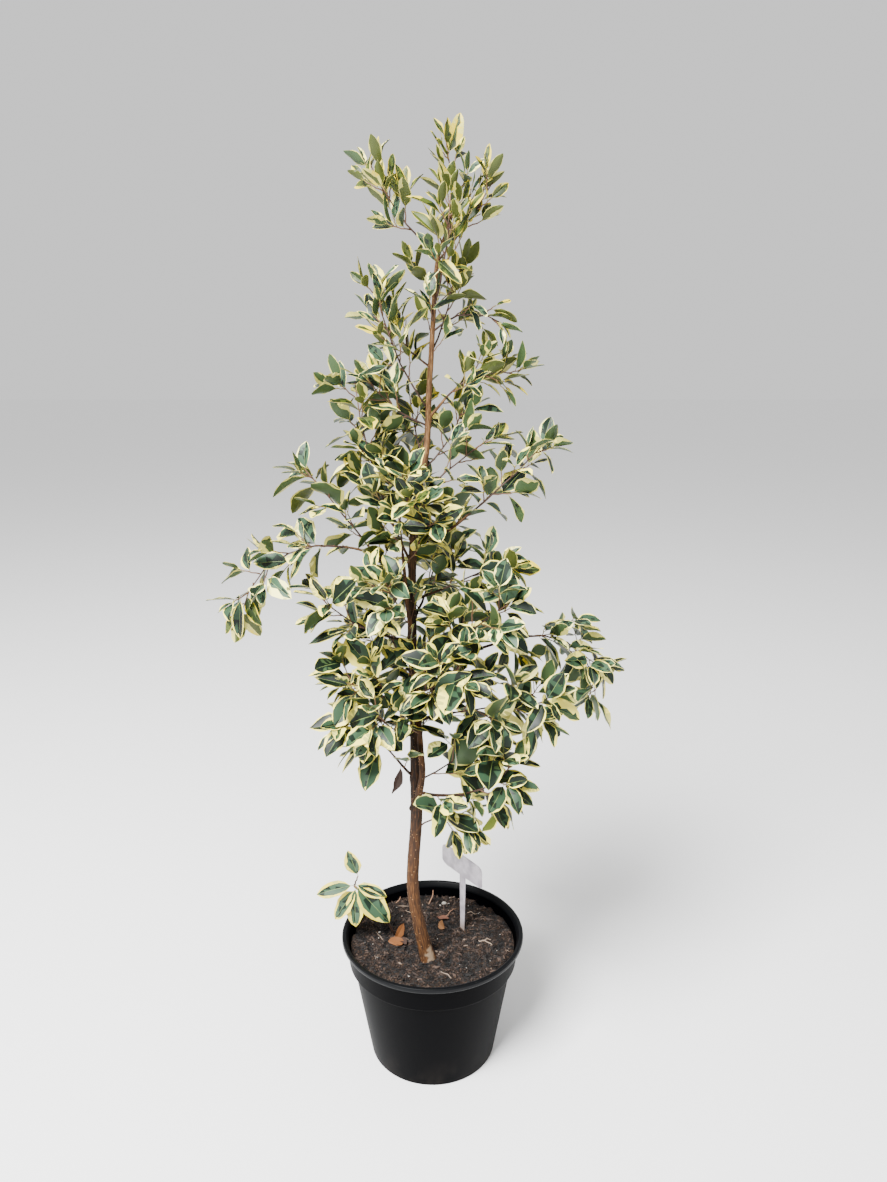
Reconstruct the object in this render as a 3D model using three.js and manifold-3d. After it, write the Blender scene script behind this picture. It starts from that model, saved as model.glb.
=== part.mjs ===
// Young variegated evergreen buckthorn, grown as a leader with side boughs in a round nursery pot.
// Millimetres, +Z up. The origin is the centre of the pot's flat underside and +Y points to the rear.
// The trunk, each bough and each mass of foliage is a solid of its own. Bearings are degrees in plan,
// 0 to the right and 90 to the rear. Rises are degrees above the level.

import * as THREE from 'three';
import Module from 'manifold-3d';
import { mergeVertices } from 'three/addons/utils/BufferGeometryUtils.js';

const wasm = await Module();
wasm.setup();

// Clearance between neighbouring pieces
const GAP = 0.3;

// Nursery pot: a straight tapering body, a wider band under the rim and a rolled lip
const POT = {
  height: 214,
  baseRadius: 104,
  baseRound: 5,
  bandBottom: 165,
  bodyTopRadius: 132,
  bandRadius: 139,
  bandTopRadius: 142,
  lipRadius: 150,
  lipHeight: 8,
  lipRound: 2,
  wall: 3,
  facets: 32,
};

// Potting mix, filled to a little under the rim
const SOIL_LEVEL = 195;

// Plant label: a stake with a plate across its top, pushed into the potting mix
const LABEL = {
  x: 50,
  y: 26,
  turn: -53,
  stakeWidth: 11,
  stakeDepth: 30,
  stakeFoot: 5,
  thickness: 1.4,
  plateBottom: 297,
  plateTop: 335,
  plateLength: 106,
  cornerCut: 9,
};

// Trunk: height, sideways and rearward place of its middle, and diameter
const TRUNK = [
  [SOIL_LEVEL + GAP, -7, -50, 23],
  [250, -20, -45, 20.5],
  [323, -31, -38, 19.5],
  [427, -25, -26, 19],
  [490, -25, -15, 18.5],
  [620, -27, -5, 15.5],
  [747, -30, 0, 13.5],
  [850, -28, 0, 12],
  [931, -21, 0, 10.5],
  [1003, -7, 0, 9.5],
  [1079, -3, 0, 8.5],
  [1176, 3, 0, 7],
  [1259, 9, 0, 5.5],
  [1298, 21, 0, 4.5],
  [1341, 36, 0, 3.6],
  [1358, 33, 0, 3.2],
];
const TRUNK_SIDES = 10;
const TRUNK_STEPS = 20;
const FLARE = { height: 22, swell: 0.2, lobes: 3, lobeDepth: 0.35 };

// Second stem: it leaves the trunk low down, crosses in front of it and ends in an upright shoot
const SECOND_STEM = [
  [446, -25, -23, 11],
  [505, -15, -32, 10],
  [550, -17, -31, 9.4],
  [613, -21, -28, 8.6],
  [700, -26, -23, 7.4],
  [780, -36, -23, 6],
  [855, -42, -23, 4.4],
];
const SECOND_STEM_SIDES = 7;
const SECOND_STEM_STEPS = 12;

// Boughs: the stem each leaves and at what height, its bearing, its rise at root and tip, its length
// and its diameter at the root. They all end at the same diameter.
const BOUGHS = {
  low_right: { from: 'second', height: 476, bearing: -26, rise: -2, endRise: 28, length: 95, thick: 5.8 },
  low_left: { from: 'trunk', height: 492, bearing: 197, rise: 46, endRise: 56, length: 50, thick: 5 },
  low_rear: { from: 'trunk', height: 530, bearing: 78, rise: 28, endRise: 36, length: 53, thick: 5.2 },
  right_low: { from: 'second', height: 598, bearing: -14, rise: 18, endRise: 14, length: 59, thick: 5.2 },
  right_droop: { from: 'trunk', height: 655, bearing: 13, rise: 26, endRise: 10, length: 178, thick: 6 },
  rear_left: { from: 'trunk', height: 655, bearing: 116, rise: 20, endRise: 26, length: 56, thick: 5.2 },
  right_middle: { from: 'trunk', height: 670, bearing: -30, rise: 30, endRise: 42, length: 57, thick: 5.2 },
  left_middle: { from: 'trunk', height: 715, bearing: 200, rise: 10, endRise: 26, length: 59, thick: 5.2 },
  rear_middle: { from: 'trunk', height: 742, bearing: 66, rise: 30, endRise: 44, length: 53, thick: 5 },
  left_upper: { from: 'trunk', height: 776, bearing: 176, rise: 53, endRise: 52, length: 108, thick: 5.8 },
  left_long: { from: 'trunk', height: 792, bearing: 184, rise: 64, endRise: 6, length: 126, thick: 6.2 },
  right_forked: { from: 'trunk', height: 778, bearing: -8, rise: 20, endRise: 25, length: 50, thick: 4.8 },
  left_upright: { from: 'trunk', height: 834, bearing: 181, rise: 60, endRise: 68, length: 45, thick: 5 },
  right_upper: { from: 'trunk', height: 862, bearing: -3, rise: 16, endRise: 44, length: 94, thick: 5.4 },
  rear_upper: { from: 'trunk', height: 868, bearing: 108, rise: 38, endRise: 52, length: 42, thick: 4.8 },
  right_high: { from: 'trunk', height: 1048, bearing: 7, rise: 46, endRise: 52, length: 38, thick: 4.8 },
};
const BOUGH_TIP = 3.4;
const BOUGH_SIDES = 5;
const BOUGH_STEP = 36;

// Foliage masses. One with an "on" grows on from that bough's or stem's tip. The others leave a stem at
// a height, with a bearing and a rise. Each has its stem's reach and end rise and the length of its
// side twigs. Some have closer twigs, more hang or a longer bare foot than the general rule.
const MASSES = {
  low_right: { on: 'low_right', reach: 90, endRise: 64, twig: 48 },
  low_left: { on: 'low_left', reach: 106, endRise: 38, twig: 56 },
  low_rear: { on: 'low_rear', reach: 147, endRise: 45, twig: 66 },
  right_low: { on: 'right_low', reach: 144, endRise: 8, twig: 66 },
  right_droop: { on: 'right_droop', reach: 208, endRise: -96, twig: 44 },
  rear_left: { on: 'rear_left', reach: 140, endRise: 32, twig: 62 },
  right_middle: { on: 'right_middle', reach: 143, endRise: 38, twig: 62 },
  left_middle: { on: 'left_middle', reach: 110, endRise: 52, twig: 44 },
  rear_middle: { on: 'rear_middle', reach: 157, endRise: 60, twig: 60 },
  left_upper: { on: 'left_upper', reach: 146, endRise: 50, twig: 36 },
  left_long: { on: 'left_long', reach: 212, endRise: -80, twig: 42 },
  right_forked: { on: 'right_forked', reach: 102, endRise: 32, twig: 48 },
  left_upright: { on: 'left_upright', reach: 232, endRise: 84, twig: 56 },
  right_upper: { on: 'right_upper', reach: 152, endRise: 48, twig: 34 },
  rear_upper: { on: 'rear_upper', reach: 156, endRise: 72, twig: 52 },
  right_high: { on: 'right_high', reach: 116, endRise: -16, twig: 42 },
  stem_top: { on: 'second', reach: 100, endRise: 88, twig: 48 },
  leader_top: { on: 'trunk', reach: 42, endRise: 84, twig: 24, spacing: 14 },
  nodding: {
    from: 'trunk', height: 412, bearing: -12, rise: 55, reach: 100, endRise: -40, twig: 36, hang: 1,
    bare: 0.35,
  },
  low_centre: { from: 'second', height: 500, bearing: 10, rise: 24, reach: 124, endRise: 40, twig: 56 },
  low_front: { from: 'trunk', height: 560, bearing: 230, rise: 25, reach: 125, endRise: 50, twig: 58 },
  left_lower: { from: 'trunk', height: 640, bearing: 205, rise: 6, reach: 116, endRise: 18, twig: 58 },
  front_right: { from: 'second', height: 640, bearing: 308, rise: 22, reach: 128, endRise: 45, twig: 60 },
  front_left: { from: 'trunk', height: 745, bearing: 246, rise: 32, reach: 120, endRise: 55, twig: 54 },
  front_upper: { from: 'trunk', height: 848, bearing: 284, rise: 42, reach: 105, endRise: 68, twig: 50 },
  front_high: { from: 'trunk', height: 890, bearing: 256, rise: 40, reach: 104, endRise: 70, twig: 46 },
  shoulder_low: { from: 'trunk', height: 932, bearing: -6, rise: 46, reach: 140, endRise: 34, twig: 40 },
  shoulder_high: { from: 'trunk', height: 975, bearing: 18, rise: 36, reach: 112, endRise: 74, twig: 38 },
  rear_high: { from: 'trunk', height: 985, bearing: 112, rise: 45, reach: 112, endRise: 72, twig: 46 },
  left_high: { from: 'trunk', height: 1038, bearing: 190, rise: 18, reach: 110, endRise: 58, twig: 42 },
  left_near: { from: 'trunk', height: 1060, bearing: 200, rise: 52, reach: 190, endRise: 80, twig: 36 },
  rear_top: { from: 'trunk', height: 1140, bearing: 50, rise: 52, reach: 122, endRise: 78, twig: 46 },
  arching: {
    from: 'trunk', height: 1168, bearing: -6, rise: 50, reach: 106, endRise: -36, twig: 32, hang: 1,
  },
  left_crown: { from: 'trunk', height: 1120, bearing: 184, rise: 30, reach: 96, endRise: 68, twig: 40 },
  front_crown: { from: 'trunk', height: 1200, bearing: 300, rise: 58, reach: 150, endRise: 86, twig: 46 },
  top_left: { from: 'trunk', height: 1268, bearing: 180, rise: 38, reach: 152, endRise: 66, twig: 42 },
  top_right: { from: 'trunk', height: 1262, bearing: -14, rise: 46, reach: 124, endRise: 58, twig: 46 },
};

// Low shoot from the potting mix beside the trunk, leaning out over the rim, leafy towards its tip
const SUCKER = {
  x: -62, y: 6, bearing: 184, rise: 66, reach: 120, endRise: 46, twig: 22, spacing: 50, hang: 0.3, bare: 0.55,
};

// Stems of the masses and their side twigs. Angles are degrees. A scatter is the whole spread of a
// random amount, and a twig's length shrinks from its mass's twig length towards the mass's tip.
const TWIG = {
  stemRadius: 1.6,
  radius: 1.1,
  tipRadius: 0.75,
  stemStep: 28,
  foot: 3,
  spacing: 19.9,
  bareOnTip: 0.03,
  lowBareFoot: 0.06,
  highBareFoot: 0.3,
  last: 0.94,
  turn: 137.5,
  turnScatter: 40,
  turnDatum: new THREE.Vector3(0, 1, 0.3),
  fork: 48,
  forkScatter: 16,
  shrink: 0.5,
  lengthScatter: 0.4,
  lift: 12,
};

// Leaves. Lengths and hang are set by the height at which a mass starts. Sizes of a leaf are shares of
// its length, and distances along a twig are measured from its tip.
const LEAF = {
  lowHeight: 450,
  lowLength: 58,
  lowHang: 0.5,
  highHeight: 1250,
  highLength: 42,
  highHang: -0.1,
  oversize: 1.36,
  everyOther: 2,
  width: 0.54,
  widest: 0.46,
  halfThickness: 0.017,
  thickest: 0.4,
  fold: 0.05,
  freeFrom: 0.2,
  inset: 1.5,
  step: 3,
  stepGrowth: 1.6,
  leafyShare: 0.85,
  turnScatter: 30,
  turnDatum: new THREE.Vector3(0.3, 1, 0),
  tipSplay: 22,
  lowerSplay: 36,
  splayReach: 12,
  splayScatter: 20,
  leastHang: 0.35,
  hangScatter: 0.9,
  towardsTip: 0.4,
  tiltSideways: 2.4,
  tiltForwards: 2.6,
  forwards: 0.26,
  youngSize: 0.78,
  grownAt: 15,
  sizeScatter: 0.28,
};
const CLEARANCE = 0.6;
const SPACE_SLACK = 36;
const MERGE_TOLERANCE = 0.02;

const UP = new THREE.Vector3(0, 0, 1);
const { lerp, clamp, degToRad, radToDeg } = THREE.MathUtils;

// A solid from a closed mesh
function solidOf(geometry) {
  const bare = new THREE.BufferGeometry();
  bare.setAttribute('position', geometry.getAttribute('position').clone());
  if (geometry.index) {
    bare.setIndex(geometry.index.clone());
  }
  const merged = mergeVertices(bare, 1e-4);
  return new wasm.Manifold(new wasm.Mesh({
    numProp: 3,
    vertProperties: new Float32Array(merged.getAttribute('position').array),
    triVerts: new Uint32Array(merged.index.array),
  }));
}

function geometryOf(solid) {
  const { vertProperties, triVerts, numProp } = solid.getMesh();
  const geometry = new THREE.BufferGeometry();
  const position = new Float32Array(vertProperties.length / numProp * 3);
  for (let i = 0; i < position.length / 3; i += 1) {
    position.set(vertProperties.subarray(i * numProp, i * numProp + 3), i * 3);
  }
  geometry.setAttribute('position', new THREE.BufferAttribute(position, 3));
  geometry.setIndex(new THREE.BufferAttribute(new Uint32Array(triVerts), 1));
  return geometry;
}

// The largest body of a solid. Loose scraps go, and so does the skin round a sealed hollow.
function largestBody(solid) {
  return solid.decompose().reduce((best, body) => (body.volume() > best.volume() ? body : best));
}

// A repeatable number from 0 to 1 for a few whole-number keys
function chance(...keys) {
  let hash = 2166136261;
  for (const key of keys) {
    hash = Math.imul(hash ^ (key + 1), 2246822507);
    hash ^= hash >>> 13;
    hash = Math.imul(hash, 3266489909);
    hash ^= hash >>> 16;
  }
  return (hash >>> 0) / 4294967296;
}

// A repeatable amount between minus and plus half a scatter
function scattered(scatter, ...keys) {
  return scatter * (chance(...keys) - 0.5);
}

function heading(bearing, rise) {
  const level = Math.cos(degToRad(rise));
  return new THREE.Vector3(
    level * Math.cos(degToRad(bearing)),
    level * Math.sin(degToRad(bearing)),
    Math.sin(degToRad(rise)),
  );
}

function bearingOf(direction) {
  return radToDeg(Math.atan2(direction.y, direction.x));
}

function riseOf(direction) {
  return radToDeg(Math.asin(clamp(direction.z, -1, 1)));
}

// A direction that leaves a stem at an angle, turned round the stem from a datum
function forkedFrom(stem, datum, turn, angle) {
  const across = new THREE.Vector3().crossVectors(stem, datum).normalize();
  const out = across.applyAxisAngle(stem, degToRad(turn)).multiplyScalar(Math.sin(degToRad(angle)));
  return stem.clone().multiplyScalar(Math.cos(degToRad(angle))).add(out);
}

// A path whose rise turns evenly from one angle to the other along its length
function arcPath(start, bearing, rise, endRise, length, steps) {
  const path = [start.clone()];
  for (let i = 0; i < steps; i += 1) {
    const along = (i + 0.5) / steps;
    const step = heading(bearing, lerp(rise, endRise, along)).multiplyScalar(length / steps);
    path.push(path[i].clone().add(step));
  }
  return path;
}

// A smooth path through stations of height, x, y and diameter, with the radius at each point
function stationPath(stations, steps) {
  const middle = new THREE.CatmullRomCurve3(
    stations.map(([z, x, y]) => new THREE.Vector3(x, y, z)), false, 'catmullrom', 0.5);
  const size = new THREE.CatmullRomCurve3(
    stations.map(([, , , diameter]) => new THREE.Vector3(diameter / 2, 0, 0)), false, 'catmullrom', 0.5);
  const path = middle.getPoints(steps);
  const radii = size.getPoints(steps).map((point) => point.x);
  return { path, radii };
}

function directions(path) {
  return path.map((point, i) => {
    const before = path[Math.max(i - 1, 0)];
    const after = path[Math.min(i + 1, path.length - 1)];
    return after.clone().sub(before).normalize();
  });
}

// The point at a height on an upright path
function pointAtHeight(path, height) {
  const i = path.findIndex((point, k) => k > 0 && point.z >= height);
  const low = path[i - 1];
  const high = path[i];
  return low.clone().lerp(high, (height - low.z) / (high.z - low.z));
}

function lengthOf(path) {
  return path.reduce((sum, point, i) => (i ? sum + point.distanceTo(path[i - 1]) : 0), 0);
}

// The point at a distance along a path, and the path's direction there
function placeAlong(path, distance) {
  let left = distance;
  let i = 1;
  while (i < path.length - 1 && left > path[i].distanceTo(path[i - 1])) {
    left -= path[i].distanceTo(path[i - 1]);
    i += 1;
  }
  const direction = path[i].clone().sub(path[i - 1]).normalize();
  return { point: path[i - 1].clone().addScaledVector(direction, left), direction };
}

// A closed limb from rings of points. It starts flat, or pointed where its first ring is one point.
function limbFromRings(rings) {
  const sides = rings[1].length;
  const position = rings.flat().flatMap((point) => point.toArray());
  const index = [];
  const pointed = rings[0].length === 1;
  const first = pointed ? 1 : 0;
  for (let k = 0; k < sides; k += 1) {
    const next = (k + 1) % sides;
    if (pointed) {
      index.push(0, next + 1, k + 1);
    }
    for (let i = 0; i < rings.length - 1 - first; i += 1) {
      const a = first + i * sides + k;
      const b = first + i * sides + next;
      index.push(a, b, b + sides, a, b + sides, a + sides);
    }
  }
  const last = position.length / 3 - sides;
  for (let k = 1; k < sides - 1; k += 1) {
    index.push(last, last + k, last + k + 1);
    if (!pointed) {
      index.push(0, k + 1, k);
    }
  }
  const geometry = new THREE.BufferGeometry();
  geometry.setAttribute('position', new THREE.Float32BufferAttribute(position, 3));
  geometry.setIndex(index);
  return geometry;
}

// A tapering limb: rings square to the path, turned as little as possible from one to the next
function taperedLimb(path, radii, sides) {
  const along = directions(path);
  const datum = Math.abs(along[0].z) > 0.9 ? new THREE.Vector3(1, 0, 0) : UP;
  let across = new THREE.Vector3().crossVectors(along[0], datum);
  const rings = path.map((point, i) => {
    if (radii[i] === 0) {
      return [point.clone()];
    }
    across = across.clone().addScaledVector(along[i], -across.dot(along[i])).normalize();
    const other = new THREE.Vector3().crossVectors(along[i], across);
    return Array.from({ length: sides }, (_, k) => {
      const angle = 2 * Math.PI * k / sides;
      return point.clone()
        .addScaledVector(across, radii[i] * Math.cos(angle))
        .addScaledVector(other, radii[i] * Math.sin(angle));
    });
  });
  return solidOf(limbFromRings(rings));
}

function evenRadii(path, first, last) {
  return path.map((_, i) => lerp(first, last, i / (path.length - 1)));
}

// The trunk's rings lie level, so its foot is a flat cut, and swell into low lobes at the root flare
function trunkSolid(extra) {
  const { path, radii } = stationPath(TRUNK, TRUNK_STEPS);
  const rings = path.map((point, i) => {
    const flare = Math.exp(-(point.z - path[0].z) / FLARE.height);
    return Array.from({ length: TRUNK_SIDES }, (_, k) => {
      const angle = 2 * Math.PI * k / TRUNK_SIDES;
      const lobe = 1 + FLARE.lobeDepth * Math.cos(FLARE.lobes * angle);
      const radius = radii[i] * (1 + FLARE.swell * flare * lobe) + extra;
      return new THREE.Vector3(Math.cos(angle), Math.sin(angle), 0).multiplyScalar(radius).add(point);
    });
  });
  return solidOf(limbFromRings(rings));
}

function secondStemSolid(extra) {
  const { path, radii } = stationPath(SECOND_STEM, SECOND_STEM_STEPS);
  return taperedLimb(path, radii.map((radius) => radius + extra), SECOND_STEM_SIDES);
}

function boughPath({ from, height, bearing, rise, endRise, length }, stems) {
  const start = pointAtHeight(stems[from].path, height);
  return arcPath(start, bearing, rise, endRise, length, Math.ceil(length / BOUGH_STEP));
}

function boughSolid(bough, path, stems) {
  const radii = evenRadii(path, bough.thick / 2, BOUGH_TIP / 2);
  return largestBody(taperedLimb(path, radii, BOUGH_SIDES).subtract(stems[bough.from].fat));
}

// Pot: one profile turned round the axis, up the outside, over the lip and down the inside wall
function potSolid() {
  const { height, baseRadius, baseRound, bandBottom, bodyTopRadius, bandRadius, bandTopRadius } = POT;
  const { lipRadius, lipHeight, lipRound, wall } = POT;
  const lipBottom = height - lipHeight;
  const points = [
    [0, 0],
    [baseRadius - baseRound, 0],
    [baseRadius - baseRound * 0.3, baseRound * 0.3],
    [baseRadius, baseRound],
    [bodyTopRadius, bandBottom - 1],
    [bandRadius, bandBottom + 1],
    [bandTopRadius, lipBottom],
    [lipRadius - lipRound, lipBottom],
    [lipRadius, lipBottom + lipRound],
    [lipRadius, height - lipRound],
    [lipRadius - lipRound, height],
    [bandTopRadius + lipRound, height],
    [bandTopRadius - wall, lipBottom],
    [bodyTopRadius - wall, bandBottom],
    [baseRadius - wall, wall],
    [0, wall],
  ].map(([radius, level]) => new THREE.Vector2(radius, level));
  return solidOf(new THREE.LatheGeometry(points, POT.facets).rotateX(Math.PI / 2));
}

// Potting mix: it fills the pot up to its level, a gap clear of the wall and round the label's stake
function soilSolid() {
  const { bandBottom, bodyTopRadius, baseRadius, bandTopRadius, height, lipHeight, wall } = POT;
  const bandFill = (SOIL_LEVEL - bandBottom) / (height - lipHeight - bandBottom);
  const topRadius = lerp(bodyTopRadius, bandTopRadius, bandFill) - wall;
  const points = [
    [0, wall + GAP],
    [baseRadius - wall - 2 * GAP, wall + GAP],
    [bodyTopRadius - wall - 2 * GAP, bandBottom],
    [topRadius - 2 * GAP, SOIL_LEVEL],
    [0, SOIL_LEVEL],
  ].map(([radius, level]) => new THREE.Vector2(radius, level));
  const filling = solidOf(new THREE.LatheGeometry(points, POT.facets).rotateX(Math.PI / 2));
  return filling.subtract(labelSolid(GAP));
}

// Label: one flat outline of stake and plate, cut from sheet and stood upright
function labelSolid(extra) {
  const { x, y, turn, stakeWidth, stakeDepth, stakeFoot, thickness } = LABEL;
  const { plateBottom, plateTop, plateLength, cornerCut } = LABEL;
  const stake = stakeWidth / 2 + extra;
  const foot = stakeFoot / 2 + extra;
  const plate = plateLength / 2;
  const outline = new THREE.Shape([
    [foot, SOIL_LEVEL - stakeDepth - extra],
    [stake, SOIL_LEVEL - stakeDepth / 2],
    [stake, plateBottom],
    [plate - cornerCut, plateBottom],
    [plate, plateBottom + cornerCut],
    [plate, plateTop - cornerCut],
    [plate - cornerCut, plateTop],
    [cornerCut - plate, plateTop],
    [-plate, plateTop - cornerCut],
    [-plate, plateBottom + cornerCut],
    [cornerCut - plate, plateBottom],
    [-stake, plateBottom],
    [-stake, SOIL_LEVEL - stakeDepth / 2],
    [-foot, SOIL_LEVEL - stakeDepth - extra],
  ].map(([across, level]) => new THREE.Vector2(across, level)));
  const depth = thickness + 2 * extra;
  return solidOf(new THREE.ExtrudeGeometry(outline, { depth, bevelEnabled: false })
    .translate(0, 0, -depth / 2)
    .rotateX(Math.PI / 2)
    .rotateZ(degToRad(turn))
    .translate(x, y, 0));
}

// Leaf: a folded blade of six faces from its root to its tip, thickest under its middle
function leafSolid({ root, direction, face, length }, extra) {
  const side = new THREE.Vector3().crossVectors(face, direction);
  const halfWidth = length * LEAF.width / 2 + extra;
  const thickness = length * LEAF.halfThickness + extra;
  const at = (along, across, lift) => root.clone()
    .addScaledVector(direction, along)
    .addScaledVector(side, across)
    .addScaledVector(face, lift)
    .toArray();
  const corners = [
    at(0, 0, 0),
    at(length + extra, 0, 0),
    at(length * LEAF.widest, halfWidth, length * LEAF.fold),
    at(length * LEAF.widest, -halfWidth, length * LEAF.fold),
    at(length * LEAF.thickest, 0, -thickness),
  ];
  const geometry = new THREE.BufferGeometry();
  geometry.setAttribute('position', new THREE.Float32BufferAttribute(corners.flat(), 3));
  geometry.setIndex([0, 3, 2, 1, 2, 3, 0, 2, 4, 2, 1, 4, 1, 3, 4, 3, 0, 4]);
  return solidOf(geometry);
}

function twigSolid(path, extra) {
  return taperedLimb(path, [0, TWIG.radius + extra, TWIG.tipRadius + extra], 3);
}

// Side twigs leave a mass's stem in turn round it and turn up a little, less where leaves hang. Each is
// a point on the stem, a foot a little way out and a tip.
function twigPaths({ seed, path, reach, bare, spacing, twig, hang }) {
  const count = Math.round(reach / spacing);
  return Array.from({ length: count }, (_, k) => {
    const share = bare + (TWIG.last - bare) * (k + 0.5) / count;
    const { point: root, direction: stem } = placeAlong(path, share * reach);
    const turn = TWIG.turn * k + 360 * chance(seed, 0) + scattered(TWIG.turnScatter, seed, k, 1);
    const fork = TWIG.fork + scattered(TWIG.forkScatter, seed, k, 2);
    const direction = forkedFrom(stem, TWIG.turnDatum, turn, fork);
    const lifted = heading(bearingOf(direction), riseOf(direction) + (1 - hang) * TWIG.lift);
    const length = twig * (1 - TWIG.shrink * share) * (1 + scattered(TWIG.lengthScatter, seed, k, 3));
    const foot = root.clone().addScaledVector(lifted, TWIG.foot);
    return [root, foot, foot.clone().addScaledVector(lifted, length)];
  });
}

// Leaves stand in turn round a twig, close together at its tip and further apart below, where they
// spread wider. They face up, a little towards the tip, and each is tilted its own way.
function leafPlaces(path, mass, twig) {
  const { seed, hang, bare, leaf } = mass;
  const length = lengthOf(path);
  const reach = length * (twig < 0 ? 1 - bare : LEAF.leafyShare);
  const places = [];
  for (let j = 0; LEAF.step * j + LEAF.stepGrowth * j * j <= reach; j += 1) {
    const fromTip = LEAF.step * j + LEAF.stepGrowth * j * j;
    const { point: root, direction: stem } = placeAlong(path, length - fromTip - LEAF.inset);
    const turn = TWIG.turn * j + 360 * chance(seed, twig, 4) + scattered(LEAF.turnScatter, seed, twig, j, 5);
    const spread = LEAF.lowerSplay * (1 - Math.exp(-fromTip / LEAF.splayReach));
    const splay = LEAF.tipSplay + spread + scattered(LEAF.splayScatter, seed, twig, j, 6);
    const direction = forkedFrom(stem, LEAF.turnDatum, turn, splay);
    direction.z -= hang * (LEAF.leastHang + LEAF.hangScatter * chance(seed, twig, j, 7));
    direction.normalize();
    const face = UP.clone().addScaledVector(stem, LEAF.towardsTip);
    face.x += scattered(LEAF.tiltSideways, seed, twig, j, 8);
    face.y += scattered(LEAF.tiltForwards, seed, twig, j, 9) - LEAF.forwards;
    face.addScaledVector(direction, -face.dot(direction)).normalize();
    const age = lerp(LEAF.youngSize, 1, Math.min(1, fromTip / LEAF.grownAt));
    const size = leaf * age * (1 + scattered(LEAF.sizeScatter, seed, twig, j, 10));
    places.push({ root, direction, face, length: size * LEAF.oversize });
  }
  return places.filter((_, j) => j % LEAF.everyOther === 0);
}

function distanceToPath(point, path) {
  const spot = new THREE.Vector3();
  const line = new THREE.Line3();
  let nearest = Infinity;
  for (let i = 1; i < path.length; i += 1) {
    line.set(path[i - 1], path[i]).closestPointToPoint(point, true, spot);
    nearest = Math.min(nearest, spot.distanceTo(point));
  }
  return nearest;
}

// A mass's own space ends where another mass's stem is nearer than its own by more than the slack
function inOwnSpace(point, mass, masses) {
  const own = distanceToPath(point, mass.path);
  return masses.every((other) => other === mass || distanceToPath(point, other.path) > own - SPACE_SLACK);
}

function boxOf(solid) {
  const { min, max } = solid.boundingBox();
  return new THREE.Box3(new THREE.Vector3(...min), new THREE.Vector3(...max));
}

function touches(solid, pieces, own) {
  const box = boxOf(solid);
  return pieces.some((piece) => piece !== own && box.intersectsBox(piece.box)
    && !solid.intersect(piece.solid).isEmpty());
}

function addTo(mass, solid) {
  mass.solid = mass.solid.add(solid);
  mass.box = boxOf(mass.solid);
}

// A mass with its stem: on from a tip in the tip's direction, out of a stem's side, or up from the soil
function startMass(name, values, seed, stems, boughPaths) {
  const mass = { name, seed, spacing: TWIG.spacing, ...values };
  let { bearing, rise } = mass;
  let start;
  if (mass.on) {
    const limb = boughPaths[mass.on] ?? stems[mass.on].path;
    const end = directions(limb).at(-1);
    bearing = bearingOf(end);
    rise = riseOf(end);
    start = limb.at(-1).clone().addScaledVector(mass.on === 'trunk' ? UP : end, GAP);
  } else if (mass.from) {
    start = pointAtHeight(stems[mass.from].path, mass.height);
  } else {
    const lift = GAP + TWIG.stemRadius * Math.cos(degToRad(rise));
    start = new THREE.Vector3(mass.x, mass.y, SOIL_LEVEL + lift);
  }
  const height = clamp((start.z - LEAF.lowHeight) / (LEAF.highHeight - LEAF.lowHeight), 0, 1);
  mass.bare ??= mass.on ? TWIG.bareOnTip : lerp(TWIG.lowBareFoot, TWIG.highBareFoot, height);
  mass.leaf = lerp(LEAF.lowLength, LEAF.highLength, height);
  mass.hang ??= Math.max(0, lerp(LEAF.lowHang, LEAF.highHang, height));
  mass.path = arcPath(start, bearing, rise, mass.endRise, mass.reach, Math.ceil(mass.reach / TWIG.stemStep));
  mass.stem = taperedLimb(mass.path, evenRadii(mass.path, TWIG.stemRadius, TWIG.tipRadius), 3);
  if (mass.from) {
    mass.stem = largestBody(mass.stem.subtract(stems[mass.from].fat));
  }
  mass.solid = mass.stem;
  mass.box = boxOf(mass.stem);
  return mass;
}

// A leaf is left out where its tip leaves its mass's space, or where it would touch another piece or
// anything of its own mass but the twig at its root
function addLeaf(leaf, mass, masses, pieces) {
  const { root, direction, length } = leaf;
  const tip = root.clone().addScaledVector(direction, length);
  if (!inOwnSpace(tip, mass, masses) || touches(leafSolid(leaf, CLEARANCE), pieces, mass)) {
    return;
  }
  const free = {
    ...leaf,
    root: root.clone().addScaledVector(direction, length * LEAF.freeFrom),
    length: length * (1 - LEAF.freeFrom),
  };
  if (leafSolid(free, 0).intersect(mass.solid).isEmpty()) {
    leaf.shoot.leaves.push(leafSolid(leaf, 0));
    addTo(mass, leafSolid(leaf, 0));
  }
}

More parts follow.
